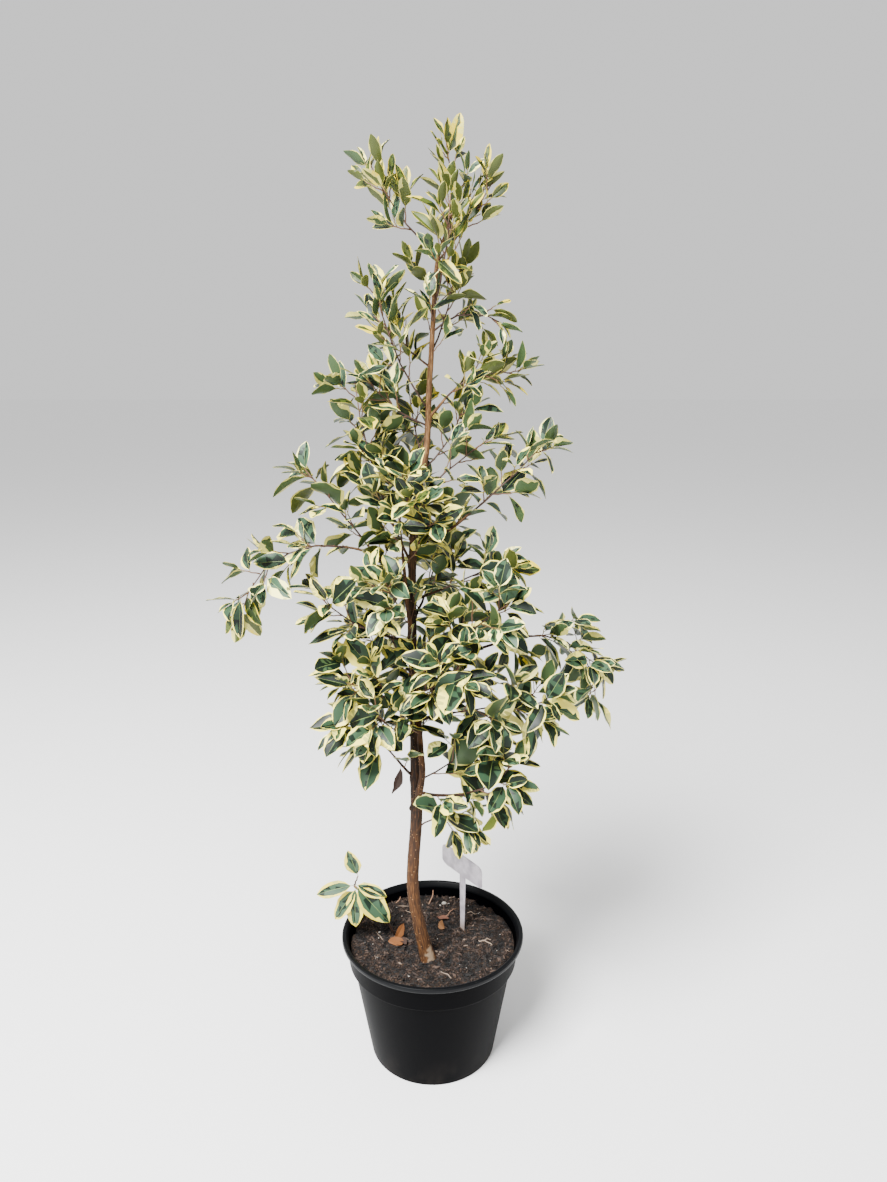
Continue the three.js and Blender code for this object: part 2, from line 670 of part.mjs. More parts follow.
// Foliage: every stem first, then the side twigs, then the leaves one from each mass in turn. Side
// twigs left without a leaf are dropped at the end.
function growMasses(limbs, stems, boughPaths) {
  const masses = Object.entries({ ...MASSES, low_shoot: SUCKER })
    .map(([name, values], number) => startMass(name, values, number + 1, stems, boughPaths));
  const pieces = [...limbs, ...masses];
  for (const mass of masses) {
    mass.shoots = [{ path: mass.path, solid: mass.stem, leaves: [] }];
    for (const path of twigPaths(mass)) {
      if (inOwnSpace(path.at(-1), mass, masses) && !touches(twigSolid(path, CLEARANCE), pieces, mass)) {
        mass.shoots.push({ path, solid: twigSolid(path, 0), leaves: [] });
        addTo(mass, twigSolid(path, 0));
      }
    }
  }
  for (const mass of masses) {
    mass.places = mass.shoots.flatMap((shoot, k) => (
      leafPlaces(shoot.path, mass, k - 1).map((leaf) => ({ ...leaf, shoot }))
    ));
  }
  const rounds = Math.max(...masses.map((mass) => mass.places.length));
  for (let round = 0; round < rounds; round += 1) {
    for (const mass of masses.filter(({ places }) => round < places.length)) {
      addLeaf(mass.places[round], mass, masses, pieces);
    }
  }
  for (const mass of masses) {
    const kept = mass.shoots.filter(({ leaves }, k) => k === 0 || leaves.length > 0);
    const fused = wasm.Manifold.union(kept.flatMap(({ solid, leaves }) => [solid, ...leaves]));
    mass.solid = largestBody(fused.asOriginal().simplify(MERGE_TOLERANCE));
  }
  return masses;
}

function finish(name, color, roughness) {
  return new THREE.MeshStandardMaterial({ name, color, roughness, metalness: 0 });
}

const finishes = {
  potPlastic: finish('pot_plastic', 0x14171c, 0.45),
  pottingMix: finish('potting_mix', 0x2b211c, 1),
  labelPlastic: finish('label_plastic', 0xd8d4d8, 0.5),
  bark: finish('bark', 0x6b4a33, 0.85),
  foliage: finish('foliage', 0x5f7044, 0.55),
};

function namedMesh(name, solid, material) {
  const mesh = new THREE.Mesh(geometryOf(solid), material);
  mesh.name = name;
  return mesh;
}

// Trunk and second stem, each also grown by a gap to cut what meets it
const stems = {
  trunk: { ...stationPath(TRUNK, TRUNK_STEPS), solid: trunkSolid(0), fat: trunkSolid(GAP) },
  second: { ...stationPath(SECOND_STEM, SECOND_STEM_STEPS), fat: secondStemSolid(GAP) },
};
stems.second.solid = largestBody(secondStemSolid(0).subtract(stems.trunk.fat));

const tree = new THREE.Group();
tree.add(namedMesh('pot', potSolid(), finishes.potPlastic));
tree.add(namedMesh('soil', soilSolid(), finishes.pottingMix));
tree.add(namedMesh('label', labelSolid(0), finishes.labelPlastic));
tree.add(namedMesh('trunk', stems.trunk.solid, finishes.bark));
tree.add(namedMesh('second_stem', stems.second.solid, finishes.bark));

const boughPaths = {};
const limbSolids = [stems.trunk.solid, stems.second.solid, potSolid(), labelSolid(0)];
for (const [name, bough] of Object.entries(BOUGHS)) {
  boughPaths[name] = boughPath(bough, stems);
  limbSolids.push(boughSolid(bough, boughPaths[name], stems));
  tree.add(namedMesh(`bough_${name}`, limbSolids.at(-1), finishes.bark));
}

const limbs = limbSolids.map((solid) => ({ solid, box: boxOf(solid) }));
for (const mass of growMasses(limbs, stems, boughPaths)) {
  tree.add(namedMesh(`leaves_${mass.name}`, mass.solid, finishes.foliage));
}

export default tree;
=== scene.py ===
"""Looks for a young variegated evergreen buckthorn in a black nursery pot.

Sizes are in millimetres until a mesh is filled, and a mesh is filled in metres. +Z is up, +Y is to the
rear and the origin is the centre of the pot's flat underside.
"""

import bpy
import numpy as np
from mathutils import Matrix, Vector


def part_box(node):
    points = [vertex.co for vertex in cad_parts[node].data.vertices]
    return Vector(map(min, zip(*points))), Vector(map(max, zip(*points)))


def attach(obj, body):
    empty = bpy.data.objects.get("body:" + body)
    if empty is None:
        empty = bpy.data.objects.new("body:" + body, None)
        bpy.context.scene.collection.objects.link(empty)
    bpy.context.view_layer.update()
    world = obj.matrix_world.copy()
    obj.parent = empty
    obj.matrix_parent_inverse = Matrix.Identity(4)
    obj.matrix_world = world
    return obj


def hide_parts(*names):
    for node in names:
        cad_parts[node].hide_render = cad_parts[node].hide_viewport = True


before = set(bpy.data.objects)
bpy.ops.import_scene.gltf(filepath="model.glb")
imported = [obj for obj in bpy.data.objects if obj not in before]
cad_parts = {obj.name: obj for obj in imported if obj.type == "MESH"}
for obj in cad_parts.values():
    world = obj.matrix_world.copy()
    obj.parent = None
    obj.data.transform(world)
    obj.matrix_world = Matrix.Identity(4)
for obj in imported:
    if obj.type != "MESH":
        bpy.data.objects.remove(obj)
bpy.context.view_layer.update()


# Nursery pot
# A round black pot, injection moulded in one thin wall: a straight tapering body, a wider band that
# nests on the next pot, and a rolled lip. The skin is satin, faintly grained and a little dusty at the foot.

POT_TURN = 160
WALL_FOOT = 101.0
LIP_FOOT = 204.0


def skin(rings, first=None, last=None, start=0):
    """Faces over rings of points, given as an array (rings, sides, 3) in which each ring turns left about
    the way the rings go. A first or last point closes that end with a fan. Returns points, four-sided
    faces and three-sided faces, numbered from start."""
    count, sides = rings.shape[:2]
    here = np.arange(count * sides).reshape(count, sides)
    turned = np.roll(here, -1, axis=1)
    fours = np.stack([here[:-1], turned[:-1], turned[1:], here[1:]], axis=-1).reshape(-1, 4)
    points, threes = [rings.reshape(-1, 3)], []
    for end, row, flip in ((first, 0, True), (last, -1, False)):
        if end is None:
            continue
        pole = np.full(sides, sum(len(part) for part in points))
        points.append(np.reshape(end, (1, 3)))
        fan = np.stack([pole, here[row], turned[row]], axis=-1)
        threes.append(fan[:, ::-1] if flip else fan)
    threes = np.concatenate(threes) if threes else np.zeros((0, 3), int)
    return np.concatenate(points), fours + start, threes + start


def make_piece(name, points, fours, threes, finishes, finish_of=None, smooth=True):
    """A mesh object from points in millimetres, with its four-sided faces first. finish_of gives each
    face's place in the list of finishes."""
    mesh = bpy.data.meshes.new(name)
    mesh.from_pydata((points * 0.001).tolist(), [], fours.tolist() + threes.tolist())
    for finish in finishes:
        mesh.materials.append(finish)
    if finish_of is not None:
        mesh.polygons.foreach_set("material_index", np.asarray(finish_of, np.int32))
    mesh.polygons.foreach_set("use_smooth", np.full(len(mesh.polygons), smooth))
    mesh.update()
    piece = bpy.data.objects.new(name, mesh)
    bpy.context.scene.collection.objects.link(piece)
    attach(piece, "root")
    return piece


def screen_colour(red, green, blue):
    """A colour given from 0 to 255 as on a screen, in the linear values that a shader takes."""
    share = np.array([red, green, blue]) / 255
    linear = np.where(share < 0.04045, share / 12.92, ((share + 0.055) / 1.055) ** 2.4)
    return (*linear.tolist(), 1.0)


def finish_start(name, roughness, **constants):
    """A new finish with its shader. Roughness and the other named sockets stay as they are given here."""
    finish = bpy.data.materials.new(name)
    finish.use_nodes = True
    shader = finish.node_tree.nodes["Principled BSDF"]
    shader.inputs["Roughness"].default_value = roughness
    for socket, value in constants.items():
        shader.inputs[socket.replace("_", " ")].default_value = value
    return finish, finish.node_tree.nodes, finish.node_tree.links, shader


def noise_at(nodes, links, place, scale, detail=3.0):
    """A noise value from 0 to 1, with this many bumps to a metre along each axis of the place."""
    noise = nodes.new("ShaderNodeTexNoise")
    stretch = nodes.new("ShaderNodeVectorMath")
    stretch.operation = "MULTIPLY"
    stretch.inputs[1].default_value = scale
    noise.inputs["Scale"].default_value = 1.0
    noise.inputs["Detail"].default_value = detail
    links.new(place, stretch.inputs[0])
    links.new(stretch.outputs[0], noise.inputs["Vector"])
    return noise.outputs["Fac"]


def ramp_of(nodes, links, value, stops):
    """Colours for a value, from stops of (position, colour)."""
    ramp = nodes.new("ShaderNodeValToRGB")
    while len(ramp.color_ramp.elements) < len(stops):
        ramp.color_ramp.elements.new(0.5)
    for element, (position, colour) in zip(ramp.color_ramp.elements, stops):
        element.position = position
        element.color = colour
    links.new(value, ramp.inputs["Fac"])
    return ramp.outputs["Color"]


def mask_of(nodes, links, value, low, high):
    """0 below low, 1 above high and even between. With low above high it is turned round."""
    mask = nodes.new("ShaderNodeMapRange")
    mask.inputs["From Min"].default_value = low
    mask.inputs["From Max"].default_value = high
    links.new(value, mask.inputs["Value"])
    return mask.outputs["Result"]


def mix_of(nodes, links, share, first, second):
    """A colour mixed from the first to the second by a share. Either may be a colour or an output."""
    mix = nodes.new("ShaderNodeMix")
    mix.data_type = "RGBA"
    links.new(share, mix.inputs["Factor"])
    for socket, colour in ((mix.inputs[6], first), (mix.inputs[7], second)):
        if isinstance(colour, tuple):
            socket.default_value = colour
        else:
            links.new(colour, socket)
    return mix.outputs[2]


def relief_of(nodes, links, height, depth):
    """A normal from a height, with this depth of relief in metres."""
    bump = nodes.new("ShaderNodeBump")
    bump.inputs["Strength"].default_value = 1.0
    bump.inputs["Distance"].default_value = depth
    links.new(height, bump.inputs["Height"])
    return bump.outputs["Normal"]


def rounded_profile(corners, steps=5):
    """Points of (radius, height) through corners of (radius, height, rounding). Each rounded corner is
    the curve (1-t)(1-t) A + 2t(1-t) C + t t B between points A and B, a rounding before and after it."""
    corner = np.array(corners, float)
    place, rounding = corner[1:-1, :2], corner[1:-1, 2:]
    before, after = corner[:-2, :2] - place, corner[2:, :2] - place
    a = place + before / np.linalg.norm(before, axis=1, keepdims=True) * rounding
    b = place + after / np.linalg.norm(after, axis=1, keepdims=True) * rounding
    t = np.linspace(0, 1, steps)[None, :, None]
    bends = (1 - t) ** 2 * a[:, None] + 2 * t * (1 - t) * place[:, None] + t ** 2 * b[:, None]
    return np.concatenate([corner[:1, :2], bends.reshape(-1, 2), corner[-1:, :2]])


def turned_rings(profile, sides):
    """A profile of radius and height turned round the pot's axis: x = r cos a, y = r sin a, z = height."""
    angle = np.arange(sides) * 2 * np.pi / sides
    radius, height = profile[:, :1], profile[:, 1:]
    return np.stack([radius * np.cos(angle), radius * np.sin(angle), height + 0 * angle], axis=-1)


# Radius, height and rounding of each corner, from the underside up the outside and down the inside
pot_profile = rounded_profile([
    (60, 1.6, 0), (86, 1.6, 0.4), (88, 0, 0.6), (103.6, 0, 2.6), (131.6, 163.6, 1.6), (138.4, 166.4, 2.2),
    (141.6, 204.5, 1.8), (148, 204.5, 1.6), (150, 206.6, 1.4), (150, 212.4, 1.7), (147.4, 214, 1.5),
    (143.6, 213.6, 1.6), (139.6, 206, 2.0), (137.2, 188, 1), (135.9, 167.5, 1.6), (129.2, 164.6, 1.6),
    (WALL_FOOT, 3, 1), (60, 3, 0),
])
pot_points, pot_fours, pot_threes = skin(turned_rings(pot_profile, POT_TURN), (0, 0, 1.6), (0, 0, 3))


def plastic_wear():
    """The group for moulded plastic: dust lies in clouds that fade out 60 mm above the ground, and the skin
    has a faint grain. It takes the colours of the plastic and of the dust."""
    group = bpy.data.node_groups.new("moulded_plastic_wear", "ShaderNodeTree")
    for name in ("Plastic", "Dust"):
        group.interface.new_socket(name, in_out="INPUT", socket_type="NodeSocketColor")
    group.interface.new_socket("Color", in_out="OUTPUT", socket_type="NodeSocketColor")
    group.interface.new_socket("Normal", in_out="OUTPUT", socket_type="NodeSocketVector")
    nodes, links = group.nodes, group.links
    given, made = nodes.new("NodeGroupInput"), nodes.new("NodeGroupOutput")
    place = nodes.new("ShaderNodeTexCoord").outputs["Object"]
    height = nodes.new("ShaderNodeSeparateXYZ")
    links.new(place, height.inputs[0])
    dust = nodes.new("ShaderNodeMath")
    dust.operation = "MULTIPLY"
    cloud = noise_at(nodes, links, place, (34, 34, 22), 5)
    links.new(mask_of(nodes, links, cloud, 0.46, 0.78), dust.inputs[0])
    links.new(mask_of(nodes, links, height.outputs["Z"], 0.06, 0.0), dust.inputs[1])
    links.new(mix_of(nodes, links, dust.outputs[0], given.outputs["Plastic"], given.outputs["Dust"]),
              made.inputs["Color"])
    grain = noise_at(nodes, links, place, (900, 900, 900), 2)
    links.new(relief_of(nodes, links, grain, 0.00006), made.inputs["Normal"])
    return group


def plastic_finish(name, wear, black, dusty, roughness, gloss):
    """Black moulded plastic with the group's wear."""
    finish, nodes, links, shader = finish_start(name, roughness, Specular_IOR_Level=gloss)
    worn = nodes.new("ShaderNodeGroup")
    worn.node_tree = wear
    worn.inputs["Plastic"].default_value = black
    worn.inputs["Dust"].default_value = dusty
    links.new(worn.outputs["Color"], shader.inputs["Base Color"])
    links.new(worn.outputs["Normal"], shader.inputs["Normal"])
    return finish


pot_wear = plastic_wear()
dust_brown = screen_colour(24, 21, 19)
pot_body_finish = plastic_finish("pot_black_plastic", pot_wear, screen_colour(2, 2, 3), dust_brown, 0.5, 0.02)
pot_lip_finish = plastic_finish("pot_lip_plastic", pot_wear, screen_colour(3, 4, 6), dust_brown, 0.42, 0.12)
pot_lip = np.repeat((pot_profile[:-1, 1] + pot_profile[1:, 1]) / 2 > LIP_FOOT, POT_TURN)
pot = make_piece("pot_shell", pot_points, pot_fours, pot_threes, [pot_body_finish, pot_lip_finish],
                 np.concatenate([pot_lip, np.zeros(2 * POT_TURN)]))
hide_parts("pot")


# Potting mix
# A dark mix of peat and composted bark that fills the pot to a little under its rim. Its top is crumbly
# and uneven, sunk at the wall and heaped a little round the trunk, with loose chips and fibres on it.

SOIL_LEVEL = 195.0
SOIL_LIFT = 0.2
SOIL_EDGE = 135.4
TRUNK_FOOT = np.array([-7.0, -50.0])
HEAP_RISE, HEAP_REACH = 2.2, 24.0
DIP_DEPTH, DIP_START, DIP_REACH = 4.0, 105.0, 30.0
mix_dice = np.random.default_rng(11)


def lattice_noise(u, v, rows, columns, dice):
    """Smooth noise from -1 to 1 on a table of random numbers that repeats each way: u is in columns, v in
    rows, and between four numbers it follows t t (3 - 2 t) each way."""
    table = dice.uniform(-1, 1, (rows, columns))
    across, along = np.floor(u).astype(int), np.floor(v).astype(int)
    a, b = u - across, v - along
    a, b = a * a * (3 - 2 * a), b * b * (3 - 2 * b)
    low = table[along % rows, across % columns] * (1 - a) + table[along % rows, (across + 1) % columns] * a
    along = along + 1
    high = table[along % rows, across % columns] * (1 - a) + table[along % rows, (across + 1) % columns] * a
    return low * (1 - b) + high * b


# Size and depth of the three waves of the mix's surface
soil_waves = [(26.0, 1.8), (13.0, 3.2), (6.0, 2.8)]
wave_seeds = mix_dice.integers(1, 10000, len(soil_waves))


def soil_wave(x, y, number):
    """One wave of the mix's surface: smooth noise of its own size and depth."""
    size, depth = soil_waves[number]
    table_dice = np.random.default_rng(wave_seeds[number])
    return depth * lattice_noise(x / size + 50, y / size + 50, 97, 97, table_dice)


def soil_height(x, y):
    """Height of the mix's top: its level, plus three waves of noise, plus a heap of e^(-(d/r)(d/r)) of the
    distance d from the trunk, less a dip that grows with the square of the distance over the last 30 mm
    to the wall."""
    top = SOIL_LEVEL + SOIL_LIFT
    for number in range(len(soil_waves)):
        top = top + soil_wave(x, y, number)
    from_trunk = np.hypot(x - TRUNK_FOOT[0], y - TRUNK_FOOT[1])
    top = top + HEAP_RISE * np.exp(-(from_trunk / HEAP_REACH) ** 2)
    return top - DIP_DEPTH * np.clip((np.hypot(x, y) - DIP_START) / DIP_REACH, 0, 1) ** 2


def soil_hump(x, y):
    """How far the two finer waves lift the mix, or sink it where the sum is below 0."""
    return soil_wave(x, y, 1) + soil_wave(x, y, 2)


SOIL_TURN = 210
angle = np.arange(SOIL_TURN) * 2 * np.pi / SOIL_TURN
radius = np.concatenate([[SOIL_EDGE], np.linspace(SOIL_EDGE - 1, 1.5, 100)])[:, None]
x, y = radius * np.cos(angle), radius * np.sin(angle)
soil_top = np.stack([x, y, soil_height(x, y)], axis=-1)
# The side follows the pot's inner wall: radius and height
soil_side = turned_rings(np.array([[60.0, 3.3], [100.4, 3.3], [128.4, 165.0], [134.8, 170.0]]), SOIL_TURN)
soil_points, soil_fours, soil_threes = skin(
    np.concatenate([soil_side, soil_top]), (0, 0, 3.3), (0, 0, soil_height(0.0, 0.0)))

mix_finish, nodes, links, shader = finish_start("potting_mix", 0.95, Specular_IOR_Level=0.25)
place = nodes.new("ShaderNodeTexCoord").outputs["Object"]
crumb = noise_at(nodes, links, place, (420, 420, 420), 4)
# Painted shade: where the mix's surface sinks, its colour goes towards near black, as shade in the hollows
hollow_shade = nodes.new("ShaderNodeAttribute")
hollow_shade.attribute_name = "hollow_shade"
links.new(mix_of(nodes, links, hollow_shade.outputs["Fac"], ramp_of(nodes, links, crumb, [
    (0.32, screen_colour(8, 5, 4)), (0.47, screen_colour(23, 16, 12)),
    (0.58, screen_colour(43, 31, 23)), (0.72, screen_colour(80, 61, 46)),
]), screen_colour(5, 4, 4)), shader.inputs["Base Color"])
links.new(relief_of(nodes, links, noise_at(nodes, links, place, (700, 700, 700), 3), 0.0016),
          shader.inputs["Normal"])

soil = make_piece("potting_mix", soil_points, soil_fours, soil_threes, [mix_finish])
# The painted shade in the hollows is full at this depth below the waves' level
DARKEST_DEPTH = 2.6
depth_below = -soil_hump(soil_points[:, 0], soil_points[:, 1])
hollows = soil.data.attributes.new("hollow_shade", "FLOAT", "POINT")
hollows.data.foreach_set("value", np.clip(depth_below / DARKEST_DEPTH, 0, 0.9).astype(np.float32))
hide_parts("soil")


def plain_finish(name, colour, roughness, **constants):
    """A finish of one colour, for small parts that are dealt several such colours."""
    finish, _, _, shader = finish_start(name, roughness, **constants)
    shader.inputs["Base Color"].default_value = colour
    return finish


def spread_on_soil(count, edge, dice):
    """Places spread evenly over the mix out to an edge: the radius is the edge times the root of a chance."""
    radius, angle = edge * np.sqrt(dice.uniform(0, 1, count)), dice.uniform(0, 2 * np.pi, count)
    return radius * np.cos(angle), radius * np.sin(angle)


# Half the length, width and thickness of a chip: the mean and the spread of each size's logarithm
CHIP_SIZES = ((1.15, 0.55), (0.25, 0.4), (-0.15, 0.4))
CHIP_COUNT = 4200
CHIP_FACES = 8


def chips_on_soil(count, dice):
    """Chips of bark: each is six points at the ends of three uneven axes, with eight faces. The long axis
    stays near the level, and the chip is sunk by a third of its thickness. Returns points, faces and how
    far the mix humps up under each chip."""
    x, y = spread_on_soil(count, 131, dice)
    length, width, thick = (dice.lognormal(size, spread, count) for size, spread in CHIP_SIZES)
    turn = dice.uniform(0, 2 * np.pi, count)
    tilt, roll = dice.normal(0, 0.3, count), dice.normal(0, 0.5, count)
    long_way = np.stack([np.cos(turn) * np.cos(tilt), np.sin(turn) * np.cos(tilt), np.sin(tilt)], axis=-1)
    level = np.stack([-np.sin(turn), np.cos(turn), 0 * turn], axis=-1)
    upright = np.cross(long_way, level)
    wide = level * np.cos(roll)[:, None] + upright * np.sin(roll)[:, None]
    thin = np.cross(long_way, wide)
    centre = np.stack([x, y, soil_height(x, y) + thick / 3], axis=-1)
    axes = np.stack([long_way * length[:, None], wide * width[:, None], thin * thick[:, None]], axis=1)
    ends = np.concatenate([axes, -axes], axis=1) * dice.uniform(0.7, 1.2, (count, 6, 1))
    points = centre[:, None] + ends + dice.normal(0, 0.25, (count, 6, 3))
    fan = np.array([[0, 1, 2], [1, 3, 2], [3, 4, 2], [4, 0, 2], [1, 0, 5], [3, 1, 5], [4, 3, 5], [0, 4, 5]])
    threes = (fan[None] + 6 * np.arange(count)[:, None, None]).reshape(-1, 3)
    return points.reshape(-1, 3), threes, soil_hump(x, y)


no_fours = np.zeros((0, 4), int)
chip_points, chip_threes, chip_hump = chips_on_soil(CHIP_COUNT, mix_dice)
chip_finishes = [
    plain_finish("bark_chip_darkest", screen_colour(9, 7, 6), 0.9),
    plain_finish("bark_chip_dark", screen_colour(24, 18, 15), 0.9),
    plain_finish("bark_chip_brown", screen_colour(48, 36, 29), 0.88),
    plain_finish("bark_chip_tan", screen_colour(68, 52, 42), 0.85),
    plain_finish("bark_chip_pale", screen_colour(110, 94, 81), 0.85),
]
# Chips differ in tone at random, and chips on humps are painted paler still, as painted light on the raised
# places: a chip takes the next finish at each of these degrees of paleness
PALENESS_STEPS = [-0.4, 0.45, 1.35, 2.7]
chip_tone_and_painted_light = mix_dice.normal(0, 1, CHIP_COUNT) + 0.42 * chip_hump
chip_colour = np.repeat(np.digitize(chip_tone_and_painted_light, PALENESS_STEPS), CHIP_FACES)
chips = make_piece("potting_mix_chips", chip_points, no_fours, chip_threes, chip_finishes, chip_colour, False)


def tube_rings(path, radius, sides):
    """Rings carried along paths, an array (paths, points, 3), square to the way each path goes. Across is
    the level direction square to the path, and a ring is path + r (across cos a + other sin a)."""
    along = np.gradient(path, axis=1)
    along /= np.linalg.norm(along, axis=2, keepdims=True)
    datum = np.where(np.abs(along[:, :1, 2:]) > 0.9, np.array([0.0, 1.0, 0.0]), np.array([0.0, 0.0, 1.0]))
    across = np.cross(along, np.broadcast_to(datum, along.shape))
    across /= np.linalg.norm(across, axis=2, keepdims=True)
    other = np.cross(along, across)
    angle = np.arange(sides) * 2 * np.pi / sides
    turn = across[:, :, None] * np.cos(angle)[:, None] + other[:, :, None] * np.sin(angle)[:, None]
    return path[:, :, None] + radius[:, :, None, None] * turn


def joined_skins(rings):
    """Closed skins over many sets of rings of one size, an array (pieces, rings, sides, 3), as one mesh.
    Each end is closed by a point in its middle."""
    points, fours, threes = [], [], []
    start = 0
    for part in rings:
        some, four, three = skin(part, part[0].mean(axis=0), part[-1].mean(axis=0), start)
        points.append(some)
        fours.append(four)
        threes.append(three)
        start += len(some)
    return np.concatenate(points), np.concatenate(fours), np.concatenate(threes)


def fibres_on_soil(count, reach, dice):
    """Paths of fibres that lie on the mix: each goes its own way, bends evenly and rises in its middle."""
    x, y = spread_on_soil(count, 126 - reach / 2, dice)
    turn, bend = dice.uniform(0, 2 * np.pi, count), dice.normal(0, 1.1, count)
    length = reach * dice.uniform(0.4, 1, count)
    t = np.linspace(-0.5, 0.5, 6)
    way = turn[:, None] + bend[:, None] * t
    step = length[:, None] * np.stack([np.cos(way), np.sin(way)], axis=0) * 0.2
    path_x = x[:, None] + np.cumsum(step[0], axis=1) - step[0].sum(axis=1, keepdims=True) / 2
    path_y = y[:, None] + np.cumsum(step[1], axis=1) - step[1].sum(axis=1, keepdims=True) / 2
    lift = 0.5 + dice.uniform(0, 0.12, (count, 1)) * length[:, None] * (1 - 4 * t ** 2)
    return np.stack([path_x, path_y, soil_height(path_x, path_y) + lift], axis=-1)


FIBRE_COUNT, FIBRE_LENGTH, FIBRE_SIDES = 420, 17, 3
fibre_paths = fibres_on_soil(FIBRE_COUNT, FIBRE_LENGTH, mix_dice)
fibre_radius = mix_dice.uniform(0.22, 0.6, (FIBRE_COUNT, 1)) * np.array([0.7, 1, 1, 1, 0.9, 0.5])
fibre_points, fibre_fours, fibre_threes = joined_skins(tube_rings(fibre_paths, fibre_radius, FIBRE_SIDES))
fibre_pick = mix_dice.choice(5, FIBRE_COUNT, p=(0.34, 0.36, 0.24, 0.055, 0.005))
fibre_colour = np.concatenate([np.repeat(fibre_pick, 5 * FIBRE_SIDES),
                               np.repeat(fibre_pick, 2 * FIBRE_SIDES)])
fibres = make_piece("potting_mix_fibres", fibre_points, fibre_fours, fibre_threes, chip_finishes,
                    fibre_colour)


# Loose bits on the potting mix
# Three bare roots that arch out of the mix behind the trunk and go back into it, five pale snapped twigs,
# four grey pebbles and small grit. All but the roots lie loose on the mix.

# Each root: where it comes out, where it goes in, how high it arches and its radius
root_spans = [((-9, 97), (4, 128), 15, 0.9), ((-68, 106), (-54, 117), 9, 0.8), ((20, 60), (44, 84), 6, 0.7)]
t = np.linspace(0, 1, 14)
root_paths = []
for (x0, y0), (x1, y1), rise, _ in root_spans:
    x, y = x0 + (x1 - x0) * t + 3 * np.sin(5 * t), y0 + (y1 - y0) * t
    root_paths.append(np.stack([x, y, soil_height(x, y) - 1.5 + (rise + 1.5) * np.sin(np.pi * t)], axis=-1))
root_radius = np.array([span[3] for span in root_spans])[:, None] * (1 - 0.35 * t)
# Each snapped twig: its two ends and its radius
snapped_ends = [((76, -4), (98, -20), 1.0), ((84, -9), (97, -4), 0.7), ((30, -98), (14, -90), 0.8),
                ((-34, 66), (-48, 77), 0.7), ((60, 72), (76, 68), 0.7)]
snapped_paths = []
for (x0, y0), (x1, y1), _ in snapped_ends:
    x, y = x0 + (x1 - x0) * t, y0 + (y1 - y0) * t + 2 * np.sin(4 * t)
    snapped_paths.append(np.stack([x, y, soil_height(x, y) + 0.8 + 2.5 * t], axis=-1))
snapped_radius = np.array([end[2] for end in snapped_ends])[:, None] * (1.1 - 0.3 * t)
LITTER_SIDES = 8
litter_points, litter_fours, litter_threes = joined_skins(np.concatenate([
    tube_rings(np.array(root_paths), root_radius, LITTER_SIDES),
    tube_rings(np.array(snapped_paths), snapped_radius, LITTER_SIDES),
]))
root_tan = plain_finish("bare_root", screen_colour(142, 106, 82), 0.8)
snapped_pale = plain_finish("snapped_twig", screen_colour(136, 118, 102), 0.8)
litter_pick = np.array([0] * len(root_spans) + [1] * len(snapped_ends))
litter_colour = np.concatenate([np.repeat(litter_pick, (len(t) - 1) * LITTER_SIDES),
                                np.repeat(litter_pick, 2 * LITTER_SIDES)])
litter = make_piece("roots_and_snapped_twigs", litter_points, litter_fours, litter_threes,
                    [root_tan, snapped_pale], litter_colour)


def pebbles(centres, sizes, dice):
    """Rounded stones: a globe of rings in which each radius is uneven by smooth noise, flattened to 0.7."""
    up, turn = np.linspace(-1, 1, 9)[1:-1] * np.pi / 2, np.arange(12) * np.pi / 6
    column, row = turn[None] * 3 / np.pi + 0 * up[:, None], up[:, None] * 2 + 9
    stones = []
    for (x, y), size in zip(centres, sizes):
        bumps = 1 + 0.14 * lattice_noise(column, row, 9, 6, dice)
        reach = size * bumps * np.cos(up)[:, None]
        stones.append(np.stack([
            x + reach * np.cos(turn), y + 0.8 * reach * np.sin(turn),
            soil_height(np.float64(x), np.float64(y)) + 0.4 * size + 0.7 * size * bumps * np.sin(up)[:, None],
        ], axis=-1))
    return np.array(stones)


# Each pebble's place and its radius
PEBBLES = [((19, 104), 4.6), ((27, 97), 2.6), ((12, 91), 2.0), ((-90, 20), 2.2)]
GRIT_COUNT = 30
grit_x, grit_y = spread_on_soil(GRIT_COUNT, 128, mix_dice)
stone_places = [spot for spot, _ in PEBBLES] + list(zip(grit_x, grit_y))
stone_sizes = np.concatenate([[size for _, size in PEBBLES], mix_dice.uniform(0.5, 1.3, GRIT_COUNT)])
stone_points, stone_fours, stone_threes = joined_skins(pebbles(stone_places, stone_sizes, mix_dice))
stone_grey, nodes, links, shader = finish_start("pebble_grey", 0.75)
place = nodes.new("ShaderNodeTexCoord").outputs["Object"]
links.new(ramp_of(nodes, links, noise_at(nodes, links, place, (600, 600, 600)), [
    (0.35, screen_colour(120, 112, 104)), (0.65, screen_colour(186, 180, 172)),
]), shader.inputs["Base Color"])
stones = make_piece("pebbles_and_grit", stone_points, stone_fours, stone_threes, [stone_grey])


# Plant label
# A bare T-shaped label stamped from off-white sheet plastic. Its stake has a pressed rib for stiffness,
# its plate is slightly bowed, and it is pushed into the mix beside the trunk.

LABEL_X, LABEL_Y, LABEL_TURN = 50.0, 26.0, np.radians(-53.0)
LABEL_HALF_THICKNESS = 0.6
PLATE_FOOT, PLATE_TOP = 297, 335
RIB_DEPTH, RIB_HALF_WIDTH, BOW_DEPTH = 0.9, 1.5, 2.2
label_heights = np.array([166, 171, 180, 200, 225, 250, 275, 290, 296.6, 297, 299.5, 302, 306, 312, 318, 324,
                          327, 330.5, 333, 335.0])
plate_share = np.clip(np.minimum((label_heights - PLATE_FOOT) / 9, (PLATE_TOP - label_heights) / 9), 0, 1)
label_half = np.where(label_heights < 296.9, np.interp(label_heights, [166, 180, 290], [1.8, 4.8, 7.2]),
                      44 + 9 * np.sqrt(plate_share * (2 - plate_share)))
label_across = np.array([-1, -0.85, -0.6, -0.35, -0.12, 0, 0.12, 0.35, 0.6, 0.85, 1])
